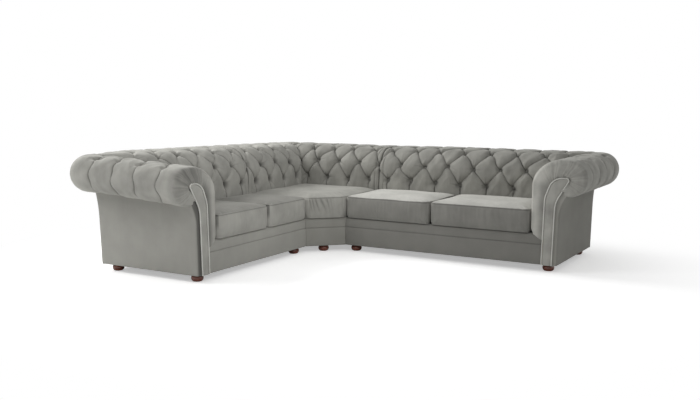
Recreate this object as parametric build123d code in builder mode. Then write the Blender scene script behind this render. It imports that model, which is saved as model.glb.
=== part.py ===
from build123d import *
import os
from math import cos, pi, radians, sin, sqrt

os.makedirs("parts", exist_ok=True)

# An L-shaped corner chesterfield in three units. All sizes are in millimetres, +Z is up.
# Plan: X runs along the right wing and Y towards its back, from the outer corner of the L.

# Plan of the base
RIGHT_SIDE = 2550.0
LEFT_SIDE = 2175.0
BASE_DEPTH = 800.0
NOSE_CUT = 205.0
UNIT_GAP = 0.6

# Heights above the floor
FOOT_HEIGHT = 46.0
DECK_HEIGHT = 245.0
ROLL_HEIGHT = 722.0

# Padding of the backs and arms
PAD = 70.0
BACK_THICK = 305.0
BACK_RADIUS = 200.0
ARM_THICK = 170.0
ARM_RADIUS = 180.0
ROLL_RADIUS = 117.0
ROLL_OUT = 63.0
ROLL_END = radians(195)
ROLL_TUCK = 4.0
ROLL_THIN = 6.0
FORMER_CLEAR = 0.5
PAD_SWELL = 4.0

# Deep buttoning: rows are measured along the crown line from the deck
ROW_1 = 225.0
ROW_2 = 357.0
ROW_3 = 510.0
ROW_4 = 660.0
BUTTON_DEPTH = 45.0
FOLD_DEPTH = 26.0
PLEAT_DEPTH = 14.0
TUCK_DEPTH = 15.0
SEAT_PUFF = 22.5
DISH_RIM = 3.5
DISH_EXTRA = 2.0
CREST_SINK = 4.7
CREST_PLEAT = 24.0
UPPER_PLEAT = 11.0
SIDE_PLEAT = 10.0
LOWER_PLEAT = 8.5
END_PLEAT = 4.0
ROLL_SWELL = 1.0
BUTTON_RADIUS = 11.0
BUTTON_HEIGHT = 7.0
RIGHT_PITCH = 198.0
LEFT_PITCH = 190.0
CORNER_PITCH = 185.0
ARM_PITCH = 180.0
FIRST_COLUMN = 69.0
CORNER_COLUMN = 165.0
FRONT_ROUND = 65.0
FRONT_SINK = 30.0
FRONT_STEP = 21.0
FRONT_EASE = 6.0
FRONT_TUFT = 0.4
END_TUFT = 0.2
MITRE = 45.0
MITRE_CLEAR = 0.1

# Outside panels
PANEL = 20.0
PANEL_FLARE = 40.0
PANEL_LEAN = 15.0
PANEL_LIP = 38.0
LIP_DROP = 58.0
FLARE_DROP = 108.0
PANEL_TUCK = 3.0

# Front border, arm facing and piping
BORDER = 25.0
BORDER_SEAM = 178.0
BORDER_GROOVE = 5.0
FACING = 15.0
FACING_INNER = 95.0
FACING_OUTER = 29.0
FACING_TOP = 609.0
FACING_TIP = 80.0
FACING_DROP = 128.0
FACING_SHIFT = 13.0
FACING_SHOULDER = 32.0
FACING_ROUNDS = (150.0, 90.0, 14.0, 180.0)
PIPING = 8.0
PIPING_CLEAR = 0.2

# Wooden frame
RAIL = 24.0
STILE = 24.0
SLAT = 20.0
LUMBAR_SLAT = 60.0
TOP_SLAT = 44.0
TACK_SLAT = 40.0
POLE_RADIUS = 20.0
BLOCK = 50.0
BLOCK_HEIGHT = 45.0
POST = 60.0
GLUE = 0.2
DUST = 2.0
WEB = 3.0
WEB_WIDTH = 60.0
WEB_PITCH = 150.0
DECK = 37.0
RIGHT_STILES = 4
LEFT_STILES = 3

# Loose cushions
CUSHION_BOX = 149.0
CUSHION_CROWN = 24.0
CROWN_RUN = 150.0
CROWN_STEPS = 6
SIDE_STEPS = 4
SIDE_PULL = 10.0
CUSHION_CORNER = 35.0
CUSHION_OVERHANG = 10.0
CUSHION_CLEAR = 0.5
SEAM_TURN = 0.01
RIGHT_SPLIT = 1666.0
LEFT_SPLIT = 1463.0

# Turned feet and their studs
FOOT_RADIUS = 38.0
FOOT_SOLE = 26.0
FOOT_NECK = 29.0
FOOT_COLLAR = 7.0
FOOT_BELLY = 18.0
STUD_RADIUS = 4.0
STUD_IN_FOOT = 25.0
STUD_IN_BLOCK = 30.0
STUD_CLEAR = 0.1

# Hook connectors between the units
HOOK_PLATE = 4.0
HOOK_REACH = 60.0
HOOK_WIDTH = 60.0
HOOK_FLOOR = 12.0
HOOK_MOUTH = 21.0
HOOK_LIP = 22.0
TONGUE_OFFSET = 8.0
TONGUE_CLEAR = 2.0
HOOK_FROM_BACK = 230.0
HOOK_FROM_FRONT = 200.0

# Levels and lines that follow from the sizes above
ROLL_Z = ROLL_HEIGHT - ROLL_RADIUS
RAIL_BOTTOM = FOOT_HEIGHT + DUST
RAIL_TOP = DECK_HEIGHT - DECK - WEB
PANEL_TOP = ROLL_Z - ROLL_RADIUS - PANEL_TUCK
PANEL_BACK = PANEL + GLUE
BACK_FORMER = BACK_THICK - PAD
ARM_FORMER = ARM_THICK - PAD
BACK_RAIL_IN = PANEL_BACK + RAIL + GLUE
FRONT_RAIL_OUT = BASE_DEPTH - BORDER
FRONT_RAIL_IN = FRONT_RAIL_OUT - RAIL - GLUE
STUMP_OUT = BASE_DEPTH - FACING
STUMP_IN = STUMP_OUT - STILE - GLUE
CORNER_SIDE = BASE_DEPTH + NOSE_CUT
WING_START = CORNER_SIDE + UNIT_GAP / 2
CORNER_END = CORNER_SIDE - UNIT_GAP / 2
CHAMFER = CORNER_SIDE + BASE_DEPTH
HOOKS = (HOOK_FROM_BACK, BASE_DEPTH - HOOK_FROM_FRONT)

BACK_RUN = Plane(origin=(0, 0, 0), x_dir=(0, 1, 0), z_dir=(1, 0, 0))
DIAGONAL = Plane(origin=(0, 0, 0), x_dir=(0, 0, 1), z_dir=(1, 1, 0))
FRAME = Location((-RIGHT_SIDE / 2, LEFT_SIDE / 2, 0))


def save(node, piece, mirrored=False):
    """Carry a finished piece to the shared frame and write it under its node's name."""
    shape = mirror(piece.part, about=DIAGONAL) if mirrored else piece.part
    shape = shape.moved(FRAME)
    shape.label = node
    export_step(shape, f"parts/{node}.step")


def block(x, y, z):
    """Add a box that spans the ranges x, y and z."""
    with Locations(((x[0] + x[1]) / 2, (y[0] + y[1]) / 2, (z[0] + z[1]) / 2)):
        Box(x[1] - x[0], y[1] - y[0], z[1] - z[0])


def blend(start, end, share):
    """Value between start and end."""
    return start + (end - start) * share


def arm_run(side):
    """Plane across an arm, whose distance is measured forward from the back's outer plane."""
    return Plane(origin=(side, 0, 0), x_dir=(1, 0, 0), z_dir=(0, -1, 0))


# Padding sections
def on_pad(thick, radius, along, depth=0.0):
    """Point (outward, up) of the padding, a way along its crown line and a depth below it."""
    centre = radius - thick
    rise = ROLL_HEIGHT - radius - DECK_HEIGHT
    turn = radius * pi / 2
    flat = ROLL_OUT - centre
    if along < rise:
        return (depth - thick, DECK_HEIGHT + along)
    if along < rise + turn:
        angle = (along - rise) / radius
        reach = radius - depth
        return (centre - reach * cos(angle), ROLL_HEIGHT - radius + reach * sin(angle))
    if along < rise + turn + flat:
        return (centre + along - rise - turn, ROLL_HEIGHT - depth)
    angle = (along - rise - turn - flat) / ROLL_RADIUS
    reach = ROLL_RADIUS - depth
    return (ROLL_OUT + reach * sin(angle), ROLL_Z + reach * cos(angle))


def roll_start(thick, radius):
    """Distance along the crown line at which the outer roll begins."""
    return ROLL_HEIGHT - radius - DECK_HEIGHT + radius * pi / 2 + ROLL_OUT - radius + thick


def pad_section(plane, thick, radius, share, tuft=1.0, sink=0.0):
    """Section of buttoned padding: share 0 on a column of rows 1 and 3, 1 on rows 2 and 4."""
    roll = roll_start(thick, radius)
    dimple = blend(FOLD_DEPTH, BUTTON_DEPTH, abs(2 * share - 1))
    dish = BUTTON_RADIUS + DISH_RIM
    folds = (
        (0.0, TUCK_DEPTH),
        (blend(ROW_1, ROW_2 - dish, share), dimple),
        (blend(ROW_3 - dish, ROW_2 + dish, share), dimple),
        (blend(ROW_3 + dish, ROW_4, share), dimple),
        (ROW_4 + BUTTON_DEPTH + PLEAT_DEPTH, PLEAT_DEPTH * share),
        (roll + ROLL_RADIUS * pi / 2, SIDE_PLEAT * share),
        (roll + ROLL_RADIUS * ROLL_END, ROLL_TUCK + END_PLEAT * share),
    )
    dished = BUTTON_DEPTH + DISH_EXTRA
    crowns = (
        blend(SEAT_PUFF, 0.0, share),
        max(dished * (2 * share - 1), PLEAT_DEPTH * share),
        max(dished * (1 - 2 * share), PLEAT_DEPTH * (1 - share)),
        blend(CREST_SINK, CREST_PLEAT, share),
        UPPER_PLEAT * share,
        ROLL_SWELL + LOWER_PLEAT * share,
    )
    outer = [on_pad(thick, radius, along, depth * tuft + sink) for along, depth in folds]
    tops = []
    for i, depth in enumerate(crowns):
        middle = (folds[i][0] + folds[i + 1][0]) / 2
        tops.append(on_pad(thick, radius, middle, depth * tuft + sink))
    ends = []
    for part in (1, 0.75, 0.5, 0.25, 0):
        thin = ROLL_THIN * max(0, 2 * part - 1)
        ends.append(on_pad(thick, radius, roll + ROLL_RADIUS * ROLL_END * part, PAD - thin))
    start = roll - ROLL_OUT + radius - thick
    arc = [on_pad(thick, radius, start - radius * pi / 2 * part, PAD) for part in (0, 0.5, 1)]
    with BuildSketch(plane) as section:
        with BuildLine():
            Line((PAD - thick, DECK_HEIGHT), outer[0])
            for i, top in enumerate(tops):
                ThreePointArc(outer[i], top, outer[i + 1])
            Line(outer[-1], ends[0])
            ThreePointArc(ends[0], ends[1], ends[2])
            ThreePointArc(ends[2], ends[3], ends[4])
            Line(ends[4], arc[0])
            ThreePointArc(arc[0], arc[1], arc[2])
            Line(arc[2], (PAD - thick, DECK_HEIGHT))
        make_face()
    return section.sketch


def roll_section(plane):
    """Section of the roll alone, outward of the base plane."""
    turns = [ROLL_END * part for part in (0, 0.25, 0.5, 0.75, 1)]
    outer = [(ROLL_OUT + ROLL_RADIUS * sin(a), ROLL_Z + ROLL_RADIUS * cos(a)) for a in turns]
    reach = ROLL_RADIUS - PAD
    inner = [(ROLL_OUT + reach * sin(a), ROLL_Z + reach * cos(a)) for a in turns]
    with BuildSketch(plane) as section:
        with BuildLine():
            Line((0, ROLL_HEIGHT - PAD), (0, ROLL_HEIGHT))
            Line((0, ROLL_HEIGHT), outer[0])
            ThreePointArc(outer[0], outer[1], outer[2])
            ThreePointArc(outer[2], outer[3], outer[4])
            Line(outer[4], inner[4])
            ThreePointArc(inner[4], inner[3], inner[2])
            ThreePointArc(inner[2], inner[1], inner[0])
            Line(inner[0], (0, ROLL_HEIGHT - PAD))
        make_face()
    return section.sketch


def column_shares(first, pitch, count):
    """Places of the padding sections from one column of rows 1 and 3 to the last, in quarters."""
    places = []
    for i in range(4 * (count - 1) + 1):
        places.append((first + pitch * i / 4, (0.0, 0.5, 1.0, 0.5)[i % 4]))
    return places


def column_count(first, pitch, end):
    """Number of columns of rows 1 and 3 that fit before the end."""
    return int((end - first) / pitch) + 1


def button_seats(run, thick, radius, first, pitch, count, kept):
    """Planes on which the buttons sit: rows 1 and 3 on the columns, rows 2 and 4 between them."""
    seats = []
    for i in range(2 * count - 1):
        at = first + pitch * i / 2
        for row in (ROW_1, ROW_3) if i % 2 == 0 else (ROW_2, ROW_4):
            low = on_pad(thick, radius, row, BUTTON_DEPTH)
            top = on_pad(thick, radius, row)
            if kept(at, -low[0]):
                out = run.x_dir * (top[0] - low[0]) + run.y_dir * (top[1] - low[1])
                seats.append(Plane(run.offset(at).from_local_coords((low[0], low[1], 0)), z_dir=out))
    return seats


# Scroll boards and slats of the frame
def former_section(plane, thick, radius, bottom):
    """Outline of a scroll board inside the padding, down to a level."""
    deep = PAD + FORMER_CLEAR
    roll = roll_start(thick, radius)
    start = roll - ROLL_OUT + radius - thick
    arc = [on_pad(thick, radius, start - radius * pi / 2 * part, deep) for part in (1, 0.5, 0)]
    quarters = [roll + ROLL_RADIUS * ROLL_END * part for part in (0, 0.25, 0.5, 0.75, 1)]
    turns = [on_pad(thick, radius, along, deep) for along in quarters]
    lip = (PANEL_FLARE - PANEL_LIP - PANEL_TUCK, PANEL_TOP + PANEL_TUCK)
    heel = (-PANEL_BACK, PANEL_TOP - LIP_DROP)
    with BuildSketch(plane) as section:
        with BuildLine():
            Line((deep - thick, bottom), arc[0])
            ThreePointArc(arc[0], arc[1], arc[2])
            Line(arc[2], turns[0])
            ThreePointArc(turns[0], turns[1], turns[2])
            ThreePointArc(turns[2], turns[3], turns[4])
            Line(turns[4], lip)
            Line(lip, heel)
            Line(heel, (-PANEL_BACK, bottom))
            Line((-PANEL_BACK, bottom), (deep - thick, bottom))
        make_face()
    return section.sketch


def slat_section(plane, thick, radius, grow):
    """Ends of the four slats of a back or arm, grown by the glue line where they are let in."""
    face = thick - PAD - FORMER_CLEAR
    top = ROLL_HEIGHT - PAD - FORMER_CLEAR
    lumbar = DECK_HEIGHT + LUMBAR_SLAT
    tack = PANEL_TOP - LIP_DROP - TACK_SLAT / 2
    with BuildSketch(plane) as section:
        with Locations((SLAT / 2 - face, lumbar)):
            Rectangle(SLAT + 2 * grow, LUMBAR_SLAT + 2 * grow)
        with Locations((radius - thick + TOP_SLAT / 2, top - SLAT / 2)):
            Rectangle(TOP_SLAT + 2 * grow, SLAT + 2 * grow)
        with Locations((ROLL_OUT, ROLL_Z)):
            Circle(POLE_RADIUS + grow)
        with Locations((-PANEL_BACK - SLAT / 2, tack)):
            Rectangle(SLAT + 2 * grow, TACK_SLAT + 2 * grow)
    return section.sketch


def rail_section(plane):
    """Notch of a scroll board over the back rail."""
    with BuildSketch(plane) as section:
        with Locations((-BACK_RAIL_IN / 2, (RAIL_TOP + GLUE) / 2)):
            Rectangle(BACK_RAIL_IN, RAIL_TOP + GLUE)
    return section.sketch


# Outside panels and front borders
def panel_section(plane):
    """Section of an outside panel: upright below, flared out under the roll."""
    with BuildSketch(plane) as section:
        with BuildLine():
            Polyline(
                (0, FOOT_HEIGHT),
                (PANEL_LEAN, PANEL_TOP - FLARE_DROP),
                (PANEL_LEAN * 2, PANEL_TOP - LIP_DROP),
                (PANEL_FLARE, PANEL_TOP),
                (PANEL_FLARE - PANEL_LIP, PANEL_TOP),
                (-PANEL, PANEL_TOP - LIP_DROP),
                (-PANEL, FOOT_HEIGHT),
                close=True,
            )
        make_face()
    return section.sketch


def border_section(plane):
    """Section of a padded front border, drawn in along its stitched seam; the front is at 0."""
    top = DECK_HEIGHT - BORDER_GROOVE
    with BuildSketch(plane) as section:
        with BuildLine():
            hem = (BORDER_GROOVE, FOOT_HEIGHT)
            seam = (BORDER_GROOVE, BORDER_SEAM)
            edge = (BORDER_GROOVE, top)
            Line((BORDER, FOOT_HEIGHT), hem)
            ThreePointArc(hem, (0, (FOOT_HEIGHT + BORDER_SEAM) / 2), seam)
            ThreePointArc(seam, (0, (BORDER_SEAM + top) / 2), edge)
            Line(edge, (2 * BORDER_GROOVE, DECK_HEIGHT))
            Line((2 * BORDER_GROOVE, DECK_HEIGHT), (BORDER, DECK_HEIGHT))
            Line((BORDER, DECK_HEIGHT), (BORDER, FOOT_HEIGHT))
        make_face()
    return section.sketch


# Loose cushion: boxed sides that swell between two seams, and a crowned top
def cushion_sections(outline):
    """Sections of a cushion from its bottom seam to its crown."""
    steps = []
    for i in range(SIDE_STEPS + 1):
        share = i / SIDE_STEPS
        steps.append((CUSHION_BOX * share, SIDE_PULL * (2 * share - 1) ** 2))
    for i in range(1, CROWN_STEPS + 1):
        angle = pi / 2 * i / CROWN_STEPS
        steps.append((CUSHION_BOX + CUSHION_CROWN * sin(angle), SIDE_PULL + CROWN_RUN * (1 - cos(angle))))
    sections = []
    for height, inset in steps:
        with BuildSketch(Plane.XY.offset(DECK_HEIGHT + CUSHION_CLEAR + height)) as section:
            Polygon(*outline, align=None)
            offset(amount=-inset - SEAM_TURN, kind=Kind.INTERSECTION)
            fillet(section.vertices(), radius=CUSHION_CORNER)
        sections.append(section.sketch)
    return sections


# Turned foot with its stud hole, and the stud
with BuildPart() as foot:
    with BuildSketch(Plane.XZ):
        with BuildLine():
            Line((0, 0), (FOOT_SOLE, 0))
            neck = (FOOT_NECK, FOOT_HEIGHT - FOOT_COLLAR)
            ThreePointArc((FOOT_SOLE, 0), (FOOT_RADIUS, FOOT_BELLY), neck)
            Line(neck, (FOOT_NECK, FOOT_HEIGHT))
            Line((FOOT_NECK, FOOT_HEIGHT), (0, FOOT_HEIGHT))
            Line((0, FOOT_HEIGHT), (0, 0))
        make_face()
    revolve(axis=Axis.Z)
    with Locations((0, 0, FOOT_HEIGHT)):
        Hole(STUD_RADIUS + STUD_CLEAR, depth=STUD_IN_FOOT)

# Covered button: a spherical cap
with BuildPart() as button:
    ball = (BUTTON_RADIUS**2 + BUTTON_HEIGHT**2) / (2 * BUTTON_HEIGHT)
    with BuildSketch(Plane.XZ):
        with BuildLine():
            Line((0, 0), (BUTTON_RADIUS, 0))
            RadiusArc((BUTTON_RADIUS, 0), (0, BUTTON_HEIGHT), -ball)
            Line((0, BUTTON_HEIGHT), (0, 0))
        make_face()
    revolve(axis=Axis.Z)


def stand(name, mirrored, feet, outline):
    """Feet, studs and dust cover under a base, with one foot below each corner block."""
    with BuildPart() as buns:
        with Locations(*[(x, y, 0) for x, y in feet]):
            add(foot.part)
    save(f"{name}_feet", buns, mirrored)

    with BuildPart() as studs:
        length = STUD_IN_FOOT + DUST + STUD_IN_BLOCK
        with Locations(*[(x, y, FOOT_HEIGHT - STUD_IN_FOOT + length / 2) for x, y in feet]):
            Cylinder(STUD_RADIUS, length)
    save(f"{name}_foot_bolts", studs, mirrored)

    with BuildPart() as cover:
        with BuildSketch(Plane.XY.offset(FOOT_HEIGHT)):
            Polygon(*outline, align=None)
            with Locations(*feet):
                Circle(STUD_RADIUS + STUD_CLEAR, mode=Mode.SUBTRACT)
        extrude(amount=DUST)
    save(f"{name}_dust_cover", cover, mirrored)


def foot_blocks(feet, turn=0.0):
    """Add the corner blocks that take the feet's studs."""
    with Locations(*[Location((x, y, RAIL_BOTTOM + BLOCK_HEIGHT / 2), (0, 0, turn)) for x, y in feet]):
        Box(BLOCK, BLOCK, BLOCK_HEIGHT)
    with Locations(*[(x, y, RAIL_BOTTOM + STUD_IN_BLOCK / 2) for x, y in feet]):
        Cylinder(STUD_RADIUS + STUD_CLEAR, STUD_IN_BLOCK, mode=Mode.SUBTRACT)


def wing(name, side, pitch, split_at, stiles, mirrored):
    """One wing unit, drawn along the right side and mirrored for the left."""
    arm = arm_run(side)
    arm_in = side - ARM_FORMER - GLUE
    arm_rail_out = side - PANEL_BACK
    arm_rail_in = side - BACK_RAIL_IN
    rail_levels = (RAIL_BOTTOM, RAIL_TOP)

    # Base: front rail, other rails with corner blocks
    with BuildPart() as front_rail:
        block((WING_START, arm_in), (-FRONT_RAIL_OUT, -FRONT_RAIL_IN - GLUE), rail_levels)
    save(f"{name}_front_rail", front_rail, mirrored)

    seam_block = WING_START + RAIL + GLUE + BLOCK / 2
    arm_block = arm_rail_in - GLUE - BLOCK / 2
    back_block = -BACK_RAIL_IN - BLOCK / 2
    feet = [
        (seam_block, back_block),
        (seam_block, -FRONT_RAIL_IN + BLOCK / 2),
        (arm_block, back_block),
        (arm_block, -FRONT_RAIL_IN + BLOCK / 2),
    ]
    with BuildPart() as base_rails:
        block((WING_START, arm_rail_out), (GLUE - BACK_RAIL_IN, -PANEL_BACK), rail_levels)
        block((WING_START, WING_START + RAIL), (-FRONT_RAIL_IN, -BACK_RAIL_IN), rail_levels)
        block((arm_rail_in, arm_rail_out), (-STUMP_IN, -BACK_RAIL_IN), rail_levels)
        foot_blocks(feet)
    save(f"{name}_base_rails", base_rails, mirrored)

    # Scroll boards of the back, spaced from the seam rail to the arm
    first_stile = WING_START + RAIL + GLUE
    last_stile = arm_in - STILE
    stile_step = (last_stile - first_stile) / (stiles - 1)
    stile_foot = RAIL_BOTTOM + BLOCK_HEIGHT + GLUE
    with BuildPart() as back_stiles:
        for i in range(stiles):
            place = BACK_RUN.offset(first_stile + stile_step * i)
            extrude(former_section(place, BACK_THICK, BACK_RADIUS, stile_foot), amount=STILE)
            extrude(slat_section(place, BACK_THICK, BACK_RADIUS, GLUE), amount=STILE, mode=Mode.SUBTRACT)
            extrude(rail_section(place), amount=STILE, mode=Mode.SUBTRACT)
    save(f"{name}_back_stiles", back_stiles, mirrored)

    # Front stump and rear board of the arm
    rear_board = BACK_FORMER + STILE
    with BuildPart() as arm_stiles:
        for at, bottom in ((STUMP_OUT - STILE, RAIL_BOTTOM), (rear_board, RAIL_TOP + GLUE)):
            place = arm.offset(at)
            extrude(former_section(place, ARM_THICK, ARM_RADIUS, bottom), amount=STILE)
            extrude(slat_section(place, ARM_THICK, ARM_RADIUS, GLUE), amount=STILE, mode=Mode.SUBTRACT)
    save(f"{name}_arm_stiles", arm_stiles, mirrored)

    with BuildPart() as slats:
        back_ends = slat_section(BACK_RUN.offset(WING_START), BACK_THICK, BACK_RADIUS, 0)
        extrude(back_ends, amount=arm_in - WING_START)
        arm_ends = slat_section(arm.offset(rear_board), ARM_THICK, ARM_RADIUS, 0)
        extrude(arm_ends, amount=STUMP_OUT - rear_board)
    save(f"{name}_slats", slats, mirrored)

    # Seat: webbing between the boards, deck on the webbing, border in front
    with BuildPart() as webbing:
        straps = max(1, int((stile_step - STILE) / WEB_PITCH))
        step = (stile_step - STILE) / straps
        for i in range(stiles - 1):
            for j in range(straps):
                middle = first_stile + stile_step * i + STILE + step * (j + 0.5)
                block(
                    (middle - WEB_WIDTH / 2, middle + WEB_WIDTH / 2),
                    (-FRONT_RAIL_OUT, -PANEL_BACK),
                    (RAIL_TOP, RAIL_TOP + WEB),
                )
    save(f"{name}_webbing", webbing, mirrored)

    with BuildPart() as seat_deck:
        block((WING_START, arm_in), (-FRONT_RAIL_OUT, -BACK_FORMER - GLUE), (RAIL_TOP + WEB, DECK_HEIGHT))
    save(f"{name}_seat_deck", seat_deck, mirrored)

    with BuildPart() as front_border:
        face = Plane(origin=(WING_START, -BASE_DEPTH, 0), x_dir=(0, 1, 0), z_dir=(1, 0, 0))
        extrude(border_section(face), amount=arm_in - WING_START)
    save(f"{name}_front_border", front_border, mirrored)

    # Buttoned padding of the back, mitred round the outer corner and let in at the arm
    first = WING_START + FIRST_COLUMN
    count = column_count(first, pitch, side - PAD)
    places = [(WING_START, min(1.0, 2 * FIRST_COLUMN / pitch))]
    places += column_shares(first, pitch, count)
    places.append((side, 0.0))
    let_in = ARM_THICK + PAD_SWELL
    far = 2 * BACK_THICK
    with BuildPart() as inside_back:
        sections = []
        for x, share in places:
            sections.append(pad_section(BACK_RUN.offset(x), BACK_THICK, BACK_RADIUS, share))
        loft(sections, ruled=True)
        with BuildSketch(Plane.XY):
            let_in_at = (side - let_in, -let_in)
            Polygon(let_in_at, (side + far, far), (side + far, -far), (side - let_in, -far), align=None)
        extrude(amount=2 * ROLL_HEIGHT, mode=Mode.SUBTRACT)
        turn = Axis((side, 0, 0), (0, 0, -1))
        revolve(roll_section(BACK_RUN.offset(side)), axis=turn, revolution_arc=MITRE)
    save(f"{name}_inside_back", inside_back, mirrored)

    # Buttoned padding of the arm, rounded off at its front
    arm_count = column_count(0, ARM_PITCH, STUMP_OUT - FRONT_ROUND)
    arm_places = [(at, share, 1.0, 0.0) for at, share in column_shares(0, ARM_PITCH, arm_count)]
    arm_places[-1] = (arm_places[-1][0], 0.0, FRONT_TUFT, 0.0)
    arm_places.append((STUMP_OUT - FRONT_STEP, 0.0, FRONT_TUFT, FRONT_EASE))
    arm_places.append((STUMP_OUT, 0.0, END_TUFT, FRONT_SINK))
    with BuildPart() as inside_arm:
        sections = []
        for at, share, tuft, sink in arm_places:
            sections.append(pad_section(arm.offset(at), ARM_THICK, ARM_RADIUS, share, tuft, sink))
        loft(sections, ruled=True)
        with BuildSketch(Plane.XY):
            Polygon((side + GLUE, 0), (side - far + GLUE, -far), (side - far + GLUE, 0), align=None)
        extrude(amount=2 * ROLL_HEIGHT, mode=Mode.SUBTRACT)
        with BuildSketch(Plane.XY):
            behind = -BACK_FORMER - GLUE
            Polygon((side, 0), (side - far, 0), (side - far, behind), (side, behind), align=None)
        extrude(amount=ROLL_HEIGHT - PAD, mode=Mode.SUBTRACT)
        turn = Axis((side, 0, 0), (0, 0, 1))
        revolve(roll_section(arm), axis=turn, revolution_arc=MITRE - MITRE_CLEAR)
    save(f"{name}_inside_arm", inside_arm, mirrored)

    def on_back(at, inward):
        return side - at > min(inward, ARM_THICK) + BUTTON_RADIUS

    def on_arm(at, inward):
        clear = inward < ARM_THICK - BUTTON_DEPTH - BUTTON_RADIUS or at > BACK_THICK
        return clear and inward + BUTTON_RADIUS < at < STUMP_OUT - FRONT_ROUND

    seats = button_seats(BACK_RUN, BACK_THICK, BACK_RADIUS, first, pitch, count, on_back)
    seats += button_seats(arm, ARM_THICK, ARM_RADIUS, 0, ARM_PITCH, arm_count, on_arm)
    with BuildPart() as buttons:
        with Locations(*seats):
            add(button.part)
    save(f"{name}_buttons", buttons, mirrored)

    # Outside panels, mitred at the outer corner
    corner = Plane(origin=(side, 0, 0), x_dir=(0, 0, 1), z_dir=(1, -1, 0))
    with BuildPart() as outside_back:
        extrude(panel_section(BACK_RUN.offset(WING_START)), amount=side + far - WING_START)
        split(bisect_by=corner.offset(-GLUE / 2), keep=Keep.BOTTOM)
    save(f"{name}_outside_back", outside_back, mirrored)

    with BuildPart() as outside_arm:
        extrude(panel_section(arm.offset(-far)), amount=STUMP_OUT - GLUE + far)
        split(bisect_by=corner.offset(GLUE / 2), keep=Keep.TOP)
    save(f"{name}_outside_arm", outside_arm, mirrored)

    # Boomerang facing on the front stump, with piping round its edge
    bend = FACING_TOP - FACING_DROP
    facing_corners = [
        (-FACING_INNER, FOOT_HEIGHT),
        (-FACING_INNER + FACING_SHIFT, bend),
        (-FACING_SHOULDER, FACING_TOP),
        (FACING_TIP, FACING_TOP),
        (-FACING_OUTER + FACING_SHIFT, bend - FACING_OUTER),
        (-FACING_OUTER, FOOT_HEIGHT),
    ]
    with BuildPart() as facing_piping:
        with BuildLine(arm.offset(BASE_DEPTH - PIPING / 2)) as edge:
            FilletPolyline(*facing_corners, radius=FACING_ROUNDS)
        with BuildSketch(Plane(origin=edge.line @ 0, z_dir=edge.line % 0)):
            Circle(PIPING / 2)
        sweep(path=edge.line)
    save(f"{name}_facing_piping", facing_piping, mirrored)

    with BuildPart() as arm_facing:
        with BuildSketch(arm.offset(STUMP_OUT)):
            with BuildLine():
                FilletPolyline(*facing_corners, radius=FACING_ROUNDS)
                Line((-FACING_OUTER, FOOT_HEIGHT), (-FACING_INNER, FOOT_HEIGHT))
            make_face()
            offset(amount=-PIPING / 2 - PIPING_CLEAR)
        extrude(amount=FACING)
    save(f"{name}_arm_facing", arm_facing, mirrored)

    # Two loose cushions, split where the seats part
    front = -BASE_DEPTH - CUSHION_OVERHANG
    back = -BACK_THICK - PAD_SWELL
    spans = {
        "cushion_seam": (WING_START, split_at - CUSHION_CLEAR / 2),
        "cushion_arm": (split_at + CUSHION_CLEAR / 2, side - ARM_THICK - PAD_SWELL),
    }
    for node, (left, right) in spans.items():
        with BuildPart() as cushion:
            outline = [(left, front), (right, front), (right, back), (left, back)]
            loft(cushion_sections(outline), ruled=True)
        save(f"{name}_{node}", cushion, mirrored)

    cover = [
        (WING_START, -FRONT_RAIL_OUT),
        (arm_in, -FRONT_RAIL_OUT),
        (arm_rail_out, -FRONT_RAIL_OUT),
        (arm_rail_out, -PANEL_BACK),
        (WING_START, -PANEL_BACK),
    ]
    stand(name, mirrored, feet, cover)

    # Tongues that drop into the corner unit's hooks
    with BuildPart() as connectors:
        near = CORNER_SIDE + TONGUE_OFFSET
        for from_back in HOOKS:
            wide = (-from_back - HOOK_WIDTH / 2, HOOK_WIDTH / 2 - from_back)
            block((near, near + HOOK_REACH), wide, (FOOT_HEIGHT - HOOK_PLATE, FOOT_HEIGHT))
            block((near, near + HOOK_PLATE), wide, (HOOK_FLOOR + HOOK_PLATE + TONGUE_CLEAR, FOOT_HEIGHT))
    save(f"{name}_connectors", connectors, mirrored)


wing("right", RIGHT_SIDE, RIGHT_PITCH, RIGHT_SPLIT, RIGHT_STILES, False)
wing("left", LEFT_SIDE, LEFT_PITCH, LEFT_SPLIT, LEFT_STILES, True)


# Corner unit, drawn as its right half and mirrored in the diagonal of the L
def front_band(near, far):
    """Strip behind the cut-off front, between two depths from its face."""
    limit = CORNER_END
    return [
        (limit, limit - CHAMFER + near * sqrt(2)),
        (limit, limit - CHAMFER + far * sqrt(2)),
        (CHAMFER - limit - far * sqrt(2), -limit),
        (CHAMFER - limit - near * sqrt(2), -limit),
    ]


with BuildPart() as corner_front_rail:
    with BuildSketch(Plane.XY.offset(RAIL_BOTTOM)):
        Polygon(*front_band(BORDER, BORDER + RAIL), align=None)
    extrude(amount=RAIL_TOP - RAIL_BOTTOM)
save("corner_front_rail", corner_front_rail)

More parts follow.
